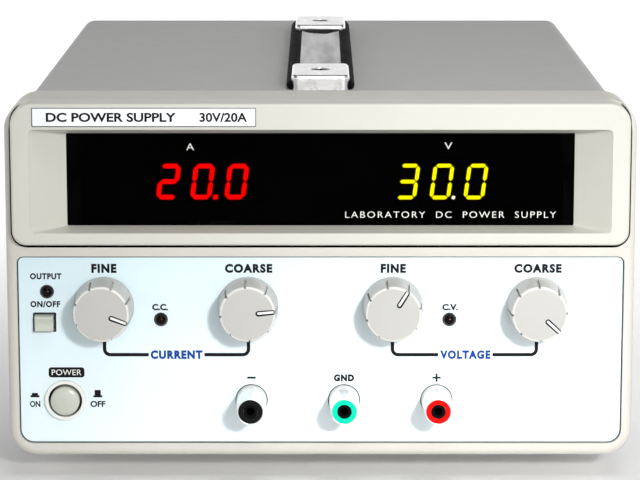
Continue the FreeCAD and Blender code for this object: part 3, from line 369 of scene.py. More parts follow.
BAND = moulded("strap_band_vinyl", (0.010, 0.010, 0.011), 0.22, relief=0.004, grain=0.5, wear=0.02,
               stretch=(1, 12, 1), Specular_IOR_Level=0.3)
# Dark plastic for the socket liners, also painted shade: the dark of the sockets and the shadow strips round
# the hood.
SOCKET_AND_SHADOW_DARK = moulded("socket_and_shadow_dark", (0.003, 0.003, 0.003), 0.6, wear=0.02, Specular_IOR_Level=0.05)
# Painted highlight: a paler copy of the knob plastic for the knobs' rounded rims.
KNOB_RIM_HIGHLIGHT = moulded("knob_rim_highlight", (0.66, 0.655, 0.62), 0.3, relief=0.004, grain=0.3)
RING = moulded("ring_plastic", (0.74, 0.76, 0.72), 0.35, relief=0.004, grain=0.3)
# Near-black for the handle's screws, also the painted shade in the caps' dishes round them.
DARK_SCREW_AND_DISH_SHADE = moulded("dark_screw_and_dish_shade", (0.004, 0.004, 0.004), 0.32, relief=0.02, blotch=2, wear=0.5,
                     Specular_IOR_Level=0.04)
SLOTS = {row["node"]: row["material_slot"] for row in frame["record"]["subparts"]}

for node, item in frame["nodes"].items():
    for place in item.material_slots:
        place.material = LOOKS[SLOTS[node]]


# ---- mesh helpers ----

CREASE = 35  # degrees: edges that turn more stay sharp


def adopt(item, look, body, stands_for=(), crease=CREASE):
    """Links a finished object, gives it its look and smooth shading, and rides it on a body.

    An object with looks of its own comes with None, and the nodes that the object stands for are
    hidden."""
    bpy.context.scene.collection.objects.link(item)
    if look is not None:
        item.data.materials.append(look)
    item.data.shade_smooth()
    item.data.set_sharp_from_angle(angle=math.radians(crease))
    even = item.modifiers.new("even_normals", "WEIGHTED_NORMAL")
    even.keep_sharp = True
    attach(item, body)
    if stands_for:
        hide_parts(*stands_for)


def solid(name, points, faces):
    """A closed mesh from millimetre points in the case's frame, with its normals outward."""
    mesh = bpy.data.meshes.new(name)
    mesh.from_pydata([ORIGIN + Vector(point) * MM for point in points], [], faces)
    work = bmesh.new()
    work.from_mesh(mesh)
    bmesh.ops.remove_doubles(work, verts=work.verts, dist=MERGE)
    bmesh.ops.recalc_face_normals(work, faces=work.faces)
    work.to_mesh(mesh)
    work.free()
    return bpy.data.objects.new(name, mesh)


def loft(name, rings, loop=False):
    """A solid through rings of equal length, closed on itself or by its two end faces."""
    size = len(rings[0])
    points = [point for ring in rings for point in ring]
    faces = []
    for row in range(len(rings) if loop else len(rings) - 1):
        here, there = row * size, (row + 1) % len(rings) * size
        for index in range(size):
            after = (index + 1) % size
            faces.append((here + index, here + after, there + after, there + index))
    if not loop:
        faces.append(tuple(range(size)))
        faces.append(tuple(range(len(points) - size, len(points))))
    return solid(name, points, faces)


def rounded(left, right, low, high, top_radius, low_radius=None, steps=8):
    """Points round a rounded rectangle in x and z, anticlockwise as seen from the front."""
    below = top_radius if low_radius is None else low_radius
    corners = ((right - below, low + below, below, -90),
               (right - top_radius, high - top_radius, top_radius, 0),
               (left + top_radius, high - top_radius, top_radius, 90),
               (left + below, low + below, below, 180))
    points = []
    for x, z, radius, start in corners:
        for step in range(steps + 1):
            angle = math.radians(start + 90 * step / steps)
            points.append((x + radius * math.cos(angle), z + radius * math.sin(angle)))
    return points


def at_y(outline, y):
    """An outline in x and z, set at one depth."""
    return [(x, y, z) for x, z in outline]


def arc(across, along, radius, start, end, steps=6):
    """Points of an arc in a profile's plane, with its angles in degrees."""
    angles = [math.radians(start + (end - start) * step / steps) for step in range(steps + 1)]
    return [(across + radius * math.cos(angle), along + radius * math.sin(angle)) for angle in angles]


def circle(x, z, radius, steps, start=0.0):
    """Points round a circle in x and z, from a start angle in radians."""
    angles = [start + FULL_TURN * step / steps for step in range(steps)]
    return [(x + radius * math.cos(angle), z + radius * math.sin(angle)) for angle in angles]


def turned(name, profile, x, z, steps=96):
    """A closed shape turned about y from (radius, y) points, centred on x and z."""
    circles = [(circle(x, z, radius, steps), y) for radius, y in profile]
    rings = [[(points[index][0], y, points[index][1]) for points, y in circles] for index in range(steps)]
    return loft(name, rings, loop=True)


def carve(item, *tools):
    """Cuts the tools out of an object that isn't linked yet; the cut faces keep the tools' finish."""
    bpy.context.scene.collection.objects.link(item)
    for tool in tools:
        bpy.context.scene.collection.objects.link(tool)
        cutter = item.modifiers.new("cut", "BOOLEAN")
        cutter.object = tool
        cutter.solver = "EXACT"
        cutter.material_mode = "TRANSFER"
    mesh = bpy.data.meshes.new_from_object(item.evaluated_get(bpy.context.evaluated_depsgraph_get()))
    item.modifiers.clear()
    item.data = mesh
    for tool in tools:
        bpy.data.objects.remove(tool)
    bpy.context.scene.collection.objects.unlink(item)


CAD_MERGE = 1e-6  # metres
COPLANAR, SHARP = math.radians(0.3), math.radians(25)  # faces that become one, edges that are rounded


def softened(node, width, look=None):
    """A copy of a CAD node whose sharp edges are rounded over a width in millimetres."""
    mesh = frame["nodes"][node].data.copy()
    work = bmesh.new()
    work.from_mesh(mesh)
    bmesh.ops.remove_doubles(work, verts=work.verts, dist=CAD_MERGE)
    bmesh.ops.dissolve_limit(work, angle_limit=COPLANAR, verts=work.verts, edges=work.edges)
    sharp = [edge for edge in work.edges
             if len(edge.link_faces) == 2 and edge.calc_face_angle(0) > SHARP]
    bmesh.ops.bevel(work, geom=sharp, offset=width * MM, segments=2, profile=0.5, affect="EDGES",
                    clamp_overlap=True)
    work.to_mesh(mesh)
    work.free()
    if "custom_normal" in mesh.attributes:
        mesh.attributes.remove(mesh.attributes["custom_normal"])
    mesh.materials.clear()
    item = bpy.data.objects.new(node + "_finished", mesh)
    slot = SLOTS[node]
    adopt(item, look or LOOKS[slot], frame["nodes"][node]["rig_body"], (node,))


# ---- moulded front ----

MOUTH = (121.4, 97.7, 141.3)  # half width, foot and head of the hood's opening at its front
THROAT = (107.0, 98.6, 138.0)  # and where it ends at the window
HOOD_CORNER, HOOD_FOOT_CORNER = 9.0, 6.0
HOOD_ROUND, MOUTH_ROUND = 1.4, 0.4
MOUTH_CORNER, THROAT_CORNER = 2, 0.6


def hood():
    """The display hood: rounded brow, soft mouth edge and walls that narrow to the window."""
    low, high = span("display_hood")
    rings = []

    def ring(inset, y):
        rings.append(at_y(rounded(low.x + inset, high.x - inset, low.z + inset, high.z - inset,
                                  HOOD_CORNER - inset, HOOD_FOOT_CORNER - inset), y))

    ring(0, high.y)
    for inset, depth in arc(HOOD_ROUND, low.y + HOOD_ROUND, HOOD_ROUND, 180, 270, 5):
        ring(inset, depth)
    half, floor, roof = MOUTH
    for grow, depth in arc(MOUTH_ROUND, low.y + MOUTH_ROUND, MOUTH_ROUND, 270, 180, 4):
        rings.append(at_y(rounded(-half - grow, half + grow, floor - grow, roof + grow,
                                  MOUTH_CORNER + grow), depth))
    half, floor, roof = THROAT
    rings.append(at_y(rounded(-half, half, floor, roof, THROAT_CORNER), high.y))
    adopt(loft("hood_shell", rings, loop=True), LOOKS["hood_plastic"], "case",
          ("display_hood",))


# Painted shadow: dark strips in the joint round the hood and on the frame just under it.
SHADOW_TUCK = 0.6  # how far the dark strip reaches under the hood's edge
SHADOW_DROP, SHADOW_BAND = 0.6, 1.4  # at the top: below the hood's edge, and from outside to inside
SHADOW_CORNER_OUT, SHADOW_CORNER_IN = 11.5, 10.0
# name, reach past the hood's sides, reach below its foot, front face, rear face
SHADOW_STRIPS = (("hood_gap_shadow", 0.72, 0.72, 0.9, 6.0), ("hood_shadow_lip", 1.0, 1.75, -0.35, -0.02))


def hood_gap_shadow():
    """Painted shadow: a dark strip in the joint between the hood and the frame, and a dark lip on the
    frame's face for the shadow line under the hood.
    """
    low, high = span("display_hood")
    inner = rounded(low.x + SHADOW_TUCK, high.x - SHADOW_TUCK, low.z + SHADOW_TUCK,
                    high.z - SHADOW_DROP - SHADOW_BAND, SHADOW_CORNER_IN, HOOD_FOOT_CORNER - SHADOW_TUCK)
    for name, side, drop, front, rear in SHADOW_STRIPS:
        outer = rounded(low.x - side, high.x + side, low.z - drop, high.z - SHADOW_DROP,
                        SHADOW_CORNER_OUT, HOOD_FOOT_CORNER + side)
        shape = [[(x, front, z), (x, rear, z), (u, rear, w), (u, front, w)]
                 for (x, z), (u, w) in zip(outer, inner)]
        adopt(loft(name, shape, loop=True), SOCKET_AND_SHADOW_DARK, "case")


hood()
hood_gap_shadow()
softened("front_bezel", 0.25)
softened("label_plate", 0.06)
softened("display_window", 0.2)

# ---- print ----

INK_GAP, INK_THICK = 0.01, 0.02
LETTER_CURVE_STEPS = 4


def printed(name, outline):
    """A flat black shape printed on the control panel."""
    near, far = OVERLAY - INK_GAP, OVERLAY - INK_GAP - INK_THICK
    adopt(loft(name, [at_y(outline, near), at_y(outline, far)]), INKS["black"], "case")


def lettering(name, words, x, z, height, width, face, colour, facing=-1, bold=0.012, spacing=1.0):
    """Words printed on a face, scaled to a cap height and an overall width about x and z.

    The face looks along -y or, facing 1, along +y. Bold and spacing are the font curve's own."""
    curve = bpy.data.curves.new(name, "FONT")
    curve.body = words
    curve.extrude = INK_GAP
    curve.offset = bold
    curve.space_character = spacing
    curve.resolution_u = LETTER_CURVE_STEPS
    letters = bpy.data.objects.new(name, curve)
    mesh = bpy.data.meshes.new_from_object(letters)
    bpy.data.objects.remove(letters)
    across = [vertex.co.x for vertex in mesh.vertices]
    upward = [vertex.co.y for vertex in mesh.vertices]
    scale_x = width / (max(across) - min(across))
    scale_z = height / (max(upward) - min(upward))
    for vertex in mesh.vertices:
        flat_x = (vertex.co.x - (max(across) + min(across)) / 2) * scale_x
        flat_z = (vertex.co.y - (max(upward) + min(upward)) / 2) * scale_z
        depth = face + facing * (INK_GAP + (INK_THICK if vertex.co.z > 0 else 0))
        vertex.co = ORIGIN + Vector((x - facing * flat_x, depth, z + flat_z)) * MM
    work = bmesh.new()
    work.from_mesh(mesh)
    bmesh.ops.remove_doubles(work, verts=work.verts, dist=MERGE)
    bmesh.ops.recalc_face_normals(work, faces=work.faces)
    work.to_mesh(mesh)
    work.free()
    mesh.materials.clear()
    adopt(bpy.data.objects.new(name, mesh), INKS[colour], "case")


def legend(name, words, x, z, height, width, colour="black", bold=0.05, spacing=1.2):
    """Words on the control panel."""
    lettering("legend_" + name, words, x, z, height, width, OVERLAY, colour, bold=bold, spacing=spacing)


def stroke(name, path, width):
    """A black line of even width on the control panel, along a path of x and z points."""
    left, right = [], []
    for index, point in enumerate(path):
        before, after = path[max(index - 1, 0)], path[min(index + 1, len(path) - 1)]
        run = Vector((after[0] - before[0], after[1] - before[1])).normalized() * width / 2
        left.append((point[0] - run.y, point[1] + run.x))
        right.append((point[0] + run.y, point[1] - run.x))
    printed(name, left + right[::-1])


def frame_line(name, outer, inner, face, colour):
    """A flat line between two outlines of equal length, just in front of a face."""
    near, far = face - INK_GAP, face - INK_GAP - INK_THICK
    shape = [[(x, near, z), (x, far, z), (u, far, w), (u, near, w)] for (x, z), (u, w) in zip(outer, inner)]
    adopt(loft(name, shape, loop=True), INKS[colour], "case")


OVERLAY = span("panel_overlay")[0].y
KNOB_LEVEL = middle("knob_voltage_fine").z
KNOB_X = {name: middle("knob_" + name).x
          for name in ("current_fine", "current_coarse", "voltage_fine", "voltage_coarse")}
POST_X = {name: middle("post_insert_" + name).x for name in ("negative", "ground", "positive")}
POST_LEVEL = middle("post_insert_ground").z
POWER = middle("power_button_ring")
OUTPUT = middle("output_button_cap")
MODE_LAMP_LEVEL, MODE_LEGEND_LEVEL = 59.4, 64.7
LAMP_PLACES = {"output": (OUTPUT.x + 1.2, OUTPUT.z + 13.2), "current": (-67.5, MODE_LAMP_LEVEL),
               "voltage": (54.5, MODE_LAMP_LEVEL)}
# Under each pair of knobs: the pair's word, its middle and its width
PAIRS = (("current", -61.0, 22.0), ("voltage", 61.4, 21.4))
PAIR_DROP, PAIR_TEXT = 21.1, 3.8
BRACKET_WIDE, BRACKET_BEND, BRACKET_RISE, BRACKET_GAP = 1.5, 2.4, 9, 0.8
SIGN_RISE, SIGN_HALF, SIGN_WIDE = 9.7, 1.8, 0.85
# Beside the mains button: a word, its place across, and how far the symbol's cap stands up
SWITCH_STATES = (("on", -13.0, 1.0), ("off", 13.7, 2.3))
SYMBOL_BASE_HALF, SYMBOL_CAP_HALF, SYMBOL_BASE_HIGH, SYMBOL_CORNER = 1.9, 1.3, 0.9, 0.1


def grown(corners, by, radius, low_radius=None):
    """The rounded outline of a box's front, grown outward on every side."""
    low, high = corners
    return rounded(low.x - by, high.x + by, low.z - by, high.z + by, radius, low_radius)


def panel_words():
    """The legends of the knobs, the mode lamps and the output button."""
    for name, x in KNOB_X.items():
        word = name.split("_")[1].upper()
        wide = 10.6 if word == "FINE" else 20.0
        legend(name, word, x + 0.2, KNOB_LEVEL + 16.2, 3.9, wide, bold=0.06)
    legend("output", "OUTPUT", OUTPUT.x + 0.8, OUTPUT.z + 19.8, 2.7, 13.3, spacing=1.15)
    legend("on_off", "ON/OFF", OUTPUT.x + 0.4, OUTPUT.z + 7.8, 2.7, 12.6, spacing=1.15)
    legend("current_mode", "C.C.", -67.8, MODE_LEGEND_LEVEL, 2.8, 6.7, spacing=1.0)
    legend("voltage_mode", "C.V.", 54.8, MODE_LEGEND_LEVEL, 2.8, 6.7, spacing=1.0)


def pair_brackets():
    """The blue word under each pair of knobs, and the bracket lines that lead to it."""
    level = KNOB_LEVEL - PAIR_DROP
    for side, x, wide in PAIRS:
        legend(side, side.upper(), x, level, PAIR_TEXT, wide, "blue", bold=0.06)
        for knob_name, way, start, end in ((side + "_fine", 1, 180, 270), (side + "_coarse", -1, 0, -90)):
            foot = KNOB_X[knob_name]
            bend = arc(foot + way * BRACKET_BEND, level + BRACKET_BEND, BRACKET_BEND, start, end)
            path = [(foot, level + BRACKET_RISE), *bend, (x - way * (wide / 2 + BRACKET_GAP), level)]
            stroke("bracket_" + knob_name, path, BRACKET_WIDE)


def post_signs():
    """Minus, ground and plus over the posts. The plus is a bar and two stubs that reach its edges."""
    legend("ground", "GND", POST_X["ground"], POST_LEVEL + 9.6, 3.1, 8.6, bold=0.07)
    z, stub = POST_LEVEL + SIGN_RISE, 0.42
    for name in ("negative", "positive"):
        x = POST_X[name]
        stroke("legend_%s_bar" % name, [(x - SIGN_HALF, z), (x + SIGN_HALF, z)], SIGN_WIDE)
    for name, first, last in (("post", -SIGN_HALF, -stub), ("tip", stub, SIGN_HALF)):
        stroke("legend_positive_" + name, [(POST_X["positive"], z + first), (POST_X["positive"], z + last)],
               SIGN_WIDE)


def power_print():
    """The mains button's badge, and the word and symbol of each of its two states."""
    pill = rounded(POWER.x - 7.0, POWER.x + 8.2, POWER.z + 9.7, POWER.z + 14.1, 1.2)
    printed("power_legend_ground", pill)
    lettering("legend_power", "POWER", POWER.x + 0.6, POWER.z + 11.9, 2.5, 12.6,
              OVERLAY - INK_GAP - INK_THICK, "white", bold=0.0, spacing=1.05)
    for state, place, rise in SWITCH_STATES:
        x, base = POWER.x + place, POWER.z + 1.0
        step = base + SYMBOL_BASE_HIGH
        legend("power_" + state, state.upper(), x, POWER.z - 1.9, 2.7, 0.4 + 2.0 * len(state),
               bold=0.035, spacing=1.0)
        for part, half, foot, head in (("base", SYMBOL_BASE_HALF, base, step),
                                       ("cap", SYMBOL_CAP_HALF, step, step + rise)):
            printed("symbol_%s_%s" % (state, part),
                    rounded(x - half, x + half, foot, head, SYMBOL_CORNER, steps=1))


def panel_lines():
    """Painted shadow: dark lines for the shaded gaps round the printed sheet and round the output button."""
    sheet, button = span("panel_overlay"), span("output_button_cap")
    frame_line("overlay_gap_shadow", grown(sheet, 0, 2.6, 5.8), grown(sheet, -0.4, 2.2, 5.4), OVERLAY, "dark")
    frame_line("output_button_gap_shadow", grown(button, 1.0, 0.5), grown(button, 0.42, 0.1), OVERLAY, "black")


def display_print():
    """The words on the window and on the plate above it."""
    left, right = (corner.x for corner in span("digit_displays"))
    face = span("display_window")[0].y
    for name, word, x, z in (("amperes", "A", left + 20.2, 132.2), ("volts", "V", right - 23.5, 132.6)):
        lettering("caption_" + name, word, x, z, 2.9, 3.2, face, "white", bold=-0.012)
    lettering("caption_supply", "LABORATORY  DC  POWER  SUPPLY", 55.0, 103.2, 2.7, 89.0, face, "white",
              bold=-0.010, spacing=1.25)
    plate = span("label_plate")
    low, high = plate
    face, level = low.y, (low.z + high.z) / 2
    for name, words, x, wide in (("title", "DC POWER SUPPLY", low.x + 33.0, 54.0),
                                 ("rating", "30V/20A", high.x - 13.6, 19.8)):
        lettering("plate_" + name, words, x, level, 3.9, wide, face, "black", bold=0.03)
    frame_line("plate_border", grown(plate, 0, 0.5), grown(plate, -0.35, 0.3), face, "dark")


# ---- digits ----

DIGIT_HIGH, DIGIT_PITCH, SLANT = 15.2, 14.4, math.tan(math.radians(7.5))
DIGIT_DROP = 0.2  # the digits sit this far under their blocks' middle
GLOW_NEAR, GLOW_FAR = 0.05, 0.25  # a lit segment's faces, in front of the block
SEGMENTS = {"0": "abcdef", "2": "abged", "3": "abgcd"}


def segment_outlines(wide, thick, gap):
    """The seven six-sided segments about a digit's middle, before they are slanted."""
    across, up, half, mitre = (wide - thick) / 2, (DIGIT_HIGH - thick) / 2, thick / 2, gap / 2
    outlines = {}
    for name, level in (("a", up), ("g", 0), ("d", -up)):
        inner, tip = across - mitre - half, across - mitre
        outlines[name] = [(-tip, level), (-inner, level - half), (inner, level - half), (tip, level),
                          (inner, level + half), (-inner, level + half)]
    for name, side, low, high in (("b", 1, 0, up), ("c", 1, -up, 0), ("e", -1, -up, 0), ("f", -1, 0, up)):
        x, foot, head = side * across, low + mitre, high - mitre
        outlines[name] = [(x, foot), (x + half, foot + half), (x + half, head - half), (x, head),
                          (x - half, head - half), (x - half, foot + half)]
    return outlines


def readout(name, digits, centre_x, wide, thick, gap, colour, dot):
    """Three lit digits and a point, just in front of a display block's face.

    A square point stands on its side and has the digits' colour, and a round one is pale."""
    low, high = span("digit_displays")
    level, face = (low.z + high.z) / 2 - DIGIT_DROP, low.y
    outlines = segment_outlines(wide, thick, gap)

    def lay(part, outline, x, glow=colour):
        slanted = [(x + across + up * SLANT, level + up) for across, up in outline]
        item = loft("%s_%s" % (name, part), [at_y(slanted, face - y) for y in (GLOW_FAR, GLOW_NEAR)])
        adopt(item, GLOW[glow], "case")

    for place, digit in enumerate(digits):
        x = centre_x + (place - 1) * DIGIT_PITCH
        for part in SEGMENTS[digit]:
            lay("%d%s" % (place, part), outlines[part], x)
    x, z = centre_x + wide / 2 + thick * 0.95, -DIGIT_HIGH / 2 + thick / 2
    steps, turn, glow = (4, math.pi / 4, colour) if dot == "square" else (20, 0, "pale")
    lay("point", circle(x, z, thick / 2 / math.cos(turn), steps, turn), 0, glow)


panel_words()
pair_brackets()
post_signs()
power_print()
panel_lines()
display_print()
readout("amperes", "200", -49.8, 8.9, 1.9, 0.12, "red", "square")
readout("volts", "300", 51.3, 8.7, 1.55, 0.6, "yellow", "round")

# ---- controls ----

# Each pointer's direction, clockwise from straight up as the user sees it
KNOB_TURN = {"current_fine": 111, "current_coarse": 85, "voltage_fine": 32, "voltage_coarse": 133}
NOTCHES, NOTCH_HALF, NOTCH_DEPTH, NOTCH_END = 8, 0.5, 1.0, -4.0
LAND_STEPS = 10  # round the arc between two notches
# The skirt's radius at its back and where its rim starts, and the rim's rounding
KNOB_BASE, KNOB_TIP, KNOB_RIM_ROUND, RIM_STEPS = 12.75, 11.75, 0.9, 6
SKIRT_START, SKIRT_LIP = -1.0, 0.25
BORE, SOCKET_RADIUS, SOCKET_FLOOR = 3.02, 9.5, -6.5  # for the shaft, and the hollow behind
CROWN = ((KNOB_TIP - KNOB_RIM_ROUND - 1.0, 0.03), (8, 0.08), (5.5, 0.13), (3, 0.16))
GROOVE_START = 4.6  # from the knob's middle
GROOVE = ((1.5, -0.5), (1.15, -0.1), (0.5, 0.4))  # half width at each depth from the knob's face
GROOVE_FLOOR = 0.39  # deeper faces are the groove's floor


def knob_ring(radius, y, notched, x, z, turn):
    """One ring of a knob: flat-bottomed notches, cut to a share of their depth, and arcs between."""
    bottom = radius - NOTCH_DEPTH * notched
    edge, floor = math.asin(NOTCH_HALF / radius), math.asin(NOTCH_HALF / bottom)
    land = FULL_TURN / NOTCHES - 2 * edge
    lip = [(-edge, radius), (-floor, bottom), (floor, bottom), (edge, radius)]
    lip += [(edge + land * step / LAND_STEPS, radius) for step in range(1, LAND_STEPS)]
    ring = []
    for notch in range(NOTCHES):
        heading = turn + FULL_TURN * notch / NOTCHES
        ring += [(x + reach * math.sin(heading + swing), y, z + reach * math.cos(heading + swing))
                 for swing, reach in lip]
    return ring


def pointer_tool(x, z, turn, face, reach):
    """The groove cut across a knob's face: sloping walls inked black as painted shade, and a floor of white
    paint.
    """
    def outline(half):
        end = [(half * math.cos(math.radians(angle)), GROOVE_START - half * math.sin(math.radians(angle)))
               for angle in range(0, 181, 20)]
        flat = [(half, reach + 1)] + end + [(-half, reach + 1)]
        return [(x + across * math.cos(turn) + along * math.sin(turn),
                 z - across * math.sin(turn) + along * math.cos(turn)) for across, along in flat]

    tool = loft("pointer_tool", [at_y(outline(half), face + depth) for half, depth in GROOVE])
    # Painted shade: the walls take black ink for the shadow in the groove; the floor is white paint.
    tool.data.materials.append(INKS["black"])
    tool.data.materials.append(INKS["white"])
    for polygon in tool.data.polygons:
        centre_y = (polygon.center.y - ORIGIN.y) / MM
        polygon.material_index = 1 if centre_y > face + GROOVE_FLOOR else 0
    return tool


def knob(name):
    """A knob: a bored back, a tapering notched skirt, a rounded rim and a slightly crowned face."""
    low, high = span("knob_" + name)
    x, z = KNOB_X[name], KNOB_LEVEL
    turn = math.radians(KNOB_TURN[name])
    face, back, rim = low.y, high.y, KNOB_RIM_ROUND
    taper = (KNOB_BASE - KNOB_TIP) / (SKIRT_START - face)  # of the radius, per millimetre of depth
    notch_radius = KNOB_BASE + taper * (NOTCH_END - SKIRT_START)
    rings = [knob_ring(radius, y, 0, x, z, turn) for radius, y in (
        (BORE, face + 2.5), (BORE, SOCKET_FLOOR), (SOCKET_RADIUS, SOCKET_FLOOR), (SOCKET_RADIUS, back),
        (KNOB_BASE - SKIRT_LIP, back), (KNOB_BASE, back - SKIRT_LIP), (KNOB_BASE, SKIRT_START - 0.2),
        (KNOB_BASE - 0.02, SKIRT_START), (notch_radius, NOTCH_END))]
    rings.append(knob_ring(notch_radius, NOTCH_END, 1, x, z, turn))
    rings.append(knob_ring(KNOB_TIP + 0.08, face + rim, 1, x, z, turn))
    for step, (radius, depth) in enumerate(arc(KNOB_TIP - rim, face + rim, rim, 0, -90, RIM_STEPS)):
        rings.append(knob_ring(radius, depth, 1 - step / RIM_STEPS, x, z, turn))
    for radius, crown in CROWN:
        rings.append(knob_ring(radius, face - crown, 0, x, z, turn))
    item = loft("knob_body_" + name, rings)
    item.data.materials.append(LOOKS["knob_plastic"])
    item.data.materials.append(KNOB_RIM_HIGHLIGHT)
    # Painted highlight: the faces of the rounded rim take the paler plastic.
    for polygon in item.data.polygons:
        depth = (polygon.center.y - ORIGIN.y) / MM
        reach = math.hypot(polygon.center.x / MM - x, (polygon.center.z - ORIGIN.z) / MM - z)
        if depth < face + rim * 0.7 and reach > KNOB_TIP - rim - 0.5:
            polygon.material_index = 1
    carve(item, pointer_tool(x, z, turn, face, KNOB_TIP))
    adopt(item, None, name + "_knob", ("knob_" + name,), crease=40)


CAP_RADIUS, CAP_RISE, CAP_ROUND, CAP_BACK, STEM_RADIUS = 6.15, 0.75, 0.9, 10, 2
DOME_SHARE = 0.86  # of the cap's radius, where its dome turns into its rounded rim


def power_cap():
    """The mains button's domed cap and its stem."""
    low, high = span("power_button_cap")
    face = low.y
    dome = [(CAP_RADIUS * share * DOME_SHARE, face + CAP_RISE * share ** 2)
            for share in (0, 0.2, 0.4, 0.6, 0.8, 1.0)]
    rim = arc(CAP_RADIUS - CAP_ROUND, face + 1.75, CAP_ROUND, -70, 0, 5)
    stem = [(CAP_RADIUS, CAP_BACK), (STEM_RADIUS, CAP_BACK), (STEM_RADIUS, high.y), (0, high.y)]
    profile = dome + rim + stem
    adopt(turned("power_cap_dome", profile, POWER.x, POWER.z), LOOKS["button_plastic"], "power_button",
          ("power_button_cap",))


DISH_DEPTH, DISH_HALF = 0.75, 2.5
DISH_LEVELS = (2.5, 2, 1.3, 0.6, 0, -0.6, -1.3, -2, -2.5)
# How far in from each end of the output cap a section stands, and how far it is set back
CAP_ENDS = ((0, 0.45), (0.15, 0.12), (0.45, 0))


def output_cap():
    """The output button's cap, dished between two lips."""
    low, high = span("output_button_cap")
    half_x, half_z = (high.x - low.x) / 2, (high.z - low.z) / 2

    def section(x, set_back):
        dish = [(set_back + DISH_DEPTH * (1 - (up / DISH_HALF) ** 2), up) for up in DISH_LEVELS]
        edge = [(high.y, half_z), (low.y + 0.5 + set_back, half_z), (set_back + low.y + 0.12, half_z - 0.25)]
        front = [(low.y + y, up) for y, up in dish]
        foot = [(y, -up) for y, up in reversed(edge)]
        return [(OUTPUT.x + x, y, OUTPUT.z + up) for y, up in edge + front + foot]

    rings = [section(inset - half_x, set_back) for inset, set_back in CAP_ENDS]
    rings += [section(half_x - inset, set_back) for inset, set_back in reversed(CAP_ENDS)]
    adopt(loft("output_cap_dished", rings), LOOKS["button_plastic"], "output_button",
          ("output_button_cap",))


def ring_line(name, x, z, outer, inner, steps):
    """A flat black circle between two radii on the control panel."""
    frame_line(name, circle(x, z, outer, steps), circle(x, z, inner, steps), OVERLAY, "black")


for knob_name in KNOB_TURN:
    knob(knob_name)
output_cap()
for lamp_name, (lamp_x, lamp_z) in LAMP_PLACES.items():
    ring_line("lamp_ring_" + lamp_name, lamp_x, lamp_z, 2.95, 2.62, 48)
power_cap()
softened("power_button_ring", 0.3, look=RING)

# ---- binding posts ----

# The dark lining of a post's socket, its black partly painted shade, with a flange over the stud's end:
# (radius, y) points
LINER = ((1.75, -19.2), (2.9, -19.2), (2.9, -18.55), (1.95, -18.55), (1.95, -8), (0, -8), (0, -9),
         (1.75, -9))
for post_name, post_x in POST_X.items():
    softened("post_nut_" + post_name, 0.2)
    softened("post_insert_" + post_name, 0.25)
    adopt(turned("socket_liner_" + post_name, LINER, post_x, POST_LEVEL, 48), SOCKET_AND_SHADOW_DARK, "case")
    # Painted shadow: a black circle round each collar where it meets the sheet.
    ring_line("collar_shadow_ring_" + post_name, post_x, POST_LEVEL, 6.85, 6.47, 64)
softened("post_collars", 0.25)

# ---- case, handle and rear ----

# The strap's width near its ends: distance from the end, share of the full width
STRAP_ENDS = ((0, 0.86), (1, 0.94), (2.5, 0.98), (4, 1.0))
# What a cap presses out of the strap: how far past the cap, and from which height up to which
SLOT_REACH, SLOT_FLOOR, SLOT_HEAD, SLOT_CORNER = 1.4, 1.95, 9, 0.05
TOE = 1.3  # the strap stops this far inside the cap's outer end
PAST = 10  # how far a cutting tool reaches past what it cuts
GLOSS_HALF, GLOSS_INSET, GLOSS_THICK, GLOSS_CROWN = 9.3, 1.6, 0.3, 0.1
GLOSS_ROWS, GLOSS_STEPS = 20, 16
ARCH_START, ARCH_DEEP = 7, 17  # the polished stretch ends in an arch this far from the rear cap
# The dark ring's section round a handle screw: radius and height over the dish's floor
DISH_SHADE = ((3.82, 0.01), (4.38, 0.01), (4.38, 0.8), (4.3, 0.8), (4.2, 0.12), (3.82, 0.06))
DISH_SHADE_DEPTH, DISH_SHADE_STEPS = 1.4, 48


def strap():
    """The strap: a raised middle band between two rolled edges, thinned where the caps hold it."""
    low, high = span("handle_strap")
    half, base, thick = high.x, low.z, high.z - low.z
    shape = [(0, thick), (9.4, thick), (10.2, thick - 0.25), (10.7, thick - 0.8), (11.3, thick - 0.8),
             (11.8, thick - 0.35), (12.6, thick - 0.15), (13.5, thick - 0.4), (14.3, thick - 1.1),
             (14.8, thick - 2.0), (half, 2.0), (14.7, 0.8), (14.0, 0.15), (13.0, 0.0)]
    section = shape + [(-across, up) for across, up in reversed(shape) if across > 0]
    ends = [(low.y + inset, pinch) for inset, pinch in STRAP_ENDS]
    ends += [(high.y - inset, pinch) for inset, pinch in reversed(STRAP_ENDS)]
    item = loft("strap_band", [[(across * pinch, y, base + up) for across, up in section]
                               for y, pinch in ends])
    item.data.materials.append(LOOKS["strap_vinyl"])
    tools = []
    for cap_node, way in (("handle_cap_front", 1), ("handle_cap_rear", -1)):
        cap_low, cap_high = span(cap_node)
        outer, inner = (cap_low.y, cap_high.y) if way > 0 else (cap_high.y, cap_low.y)
        edge = cap_high.x + 0.1
        for cut, stop, floor in (("cap_slot", inner + way * SLOT_REACH, SLOT_FLOOR),
                                 ("cap_toe", outer + way * TOE, -1)):
            slab = rounded(-edge, edge, base + floor, base + SLOT_HEAD, SLOT_CORNER, steps=1)
            tools.append(loft(cut, [at_y(slab, y) for y in sorted((outer - way * PAST, stop))]))
    for tool in tools:
        tool.data.materials.append(LOOKS["strap_vinyl"])
    carve(item, *tools)
    adopt(item, None, "case", ("handle_strap",), crease=50)


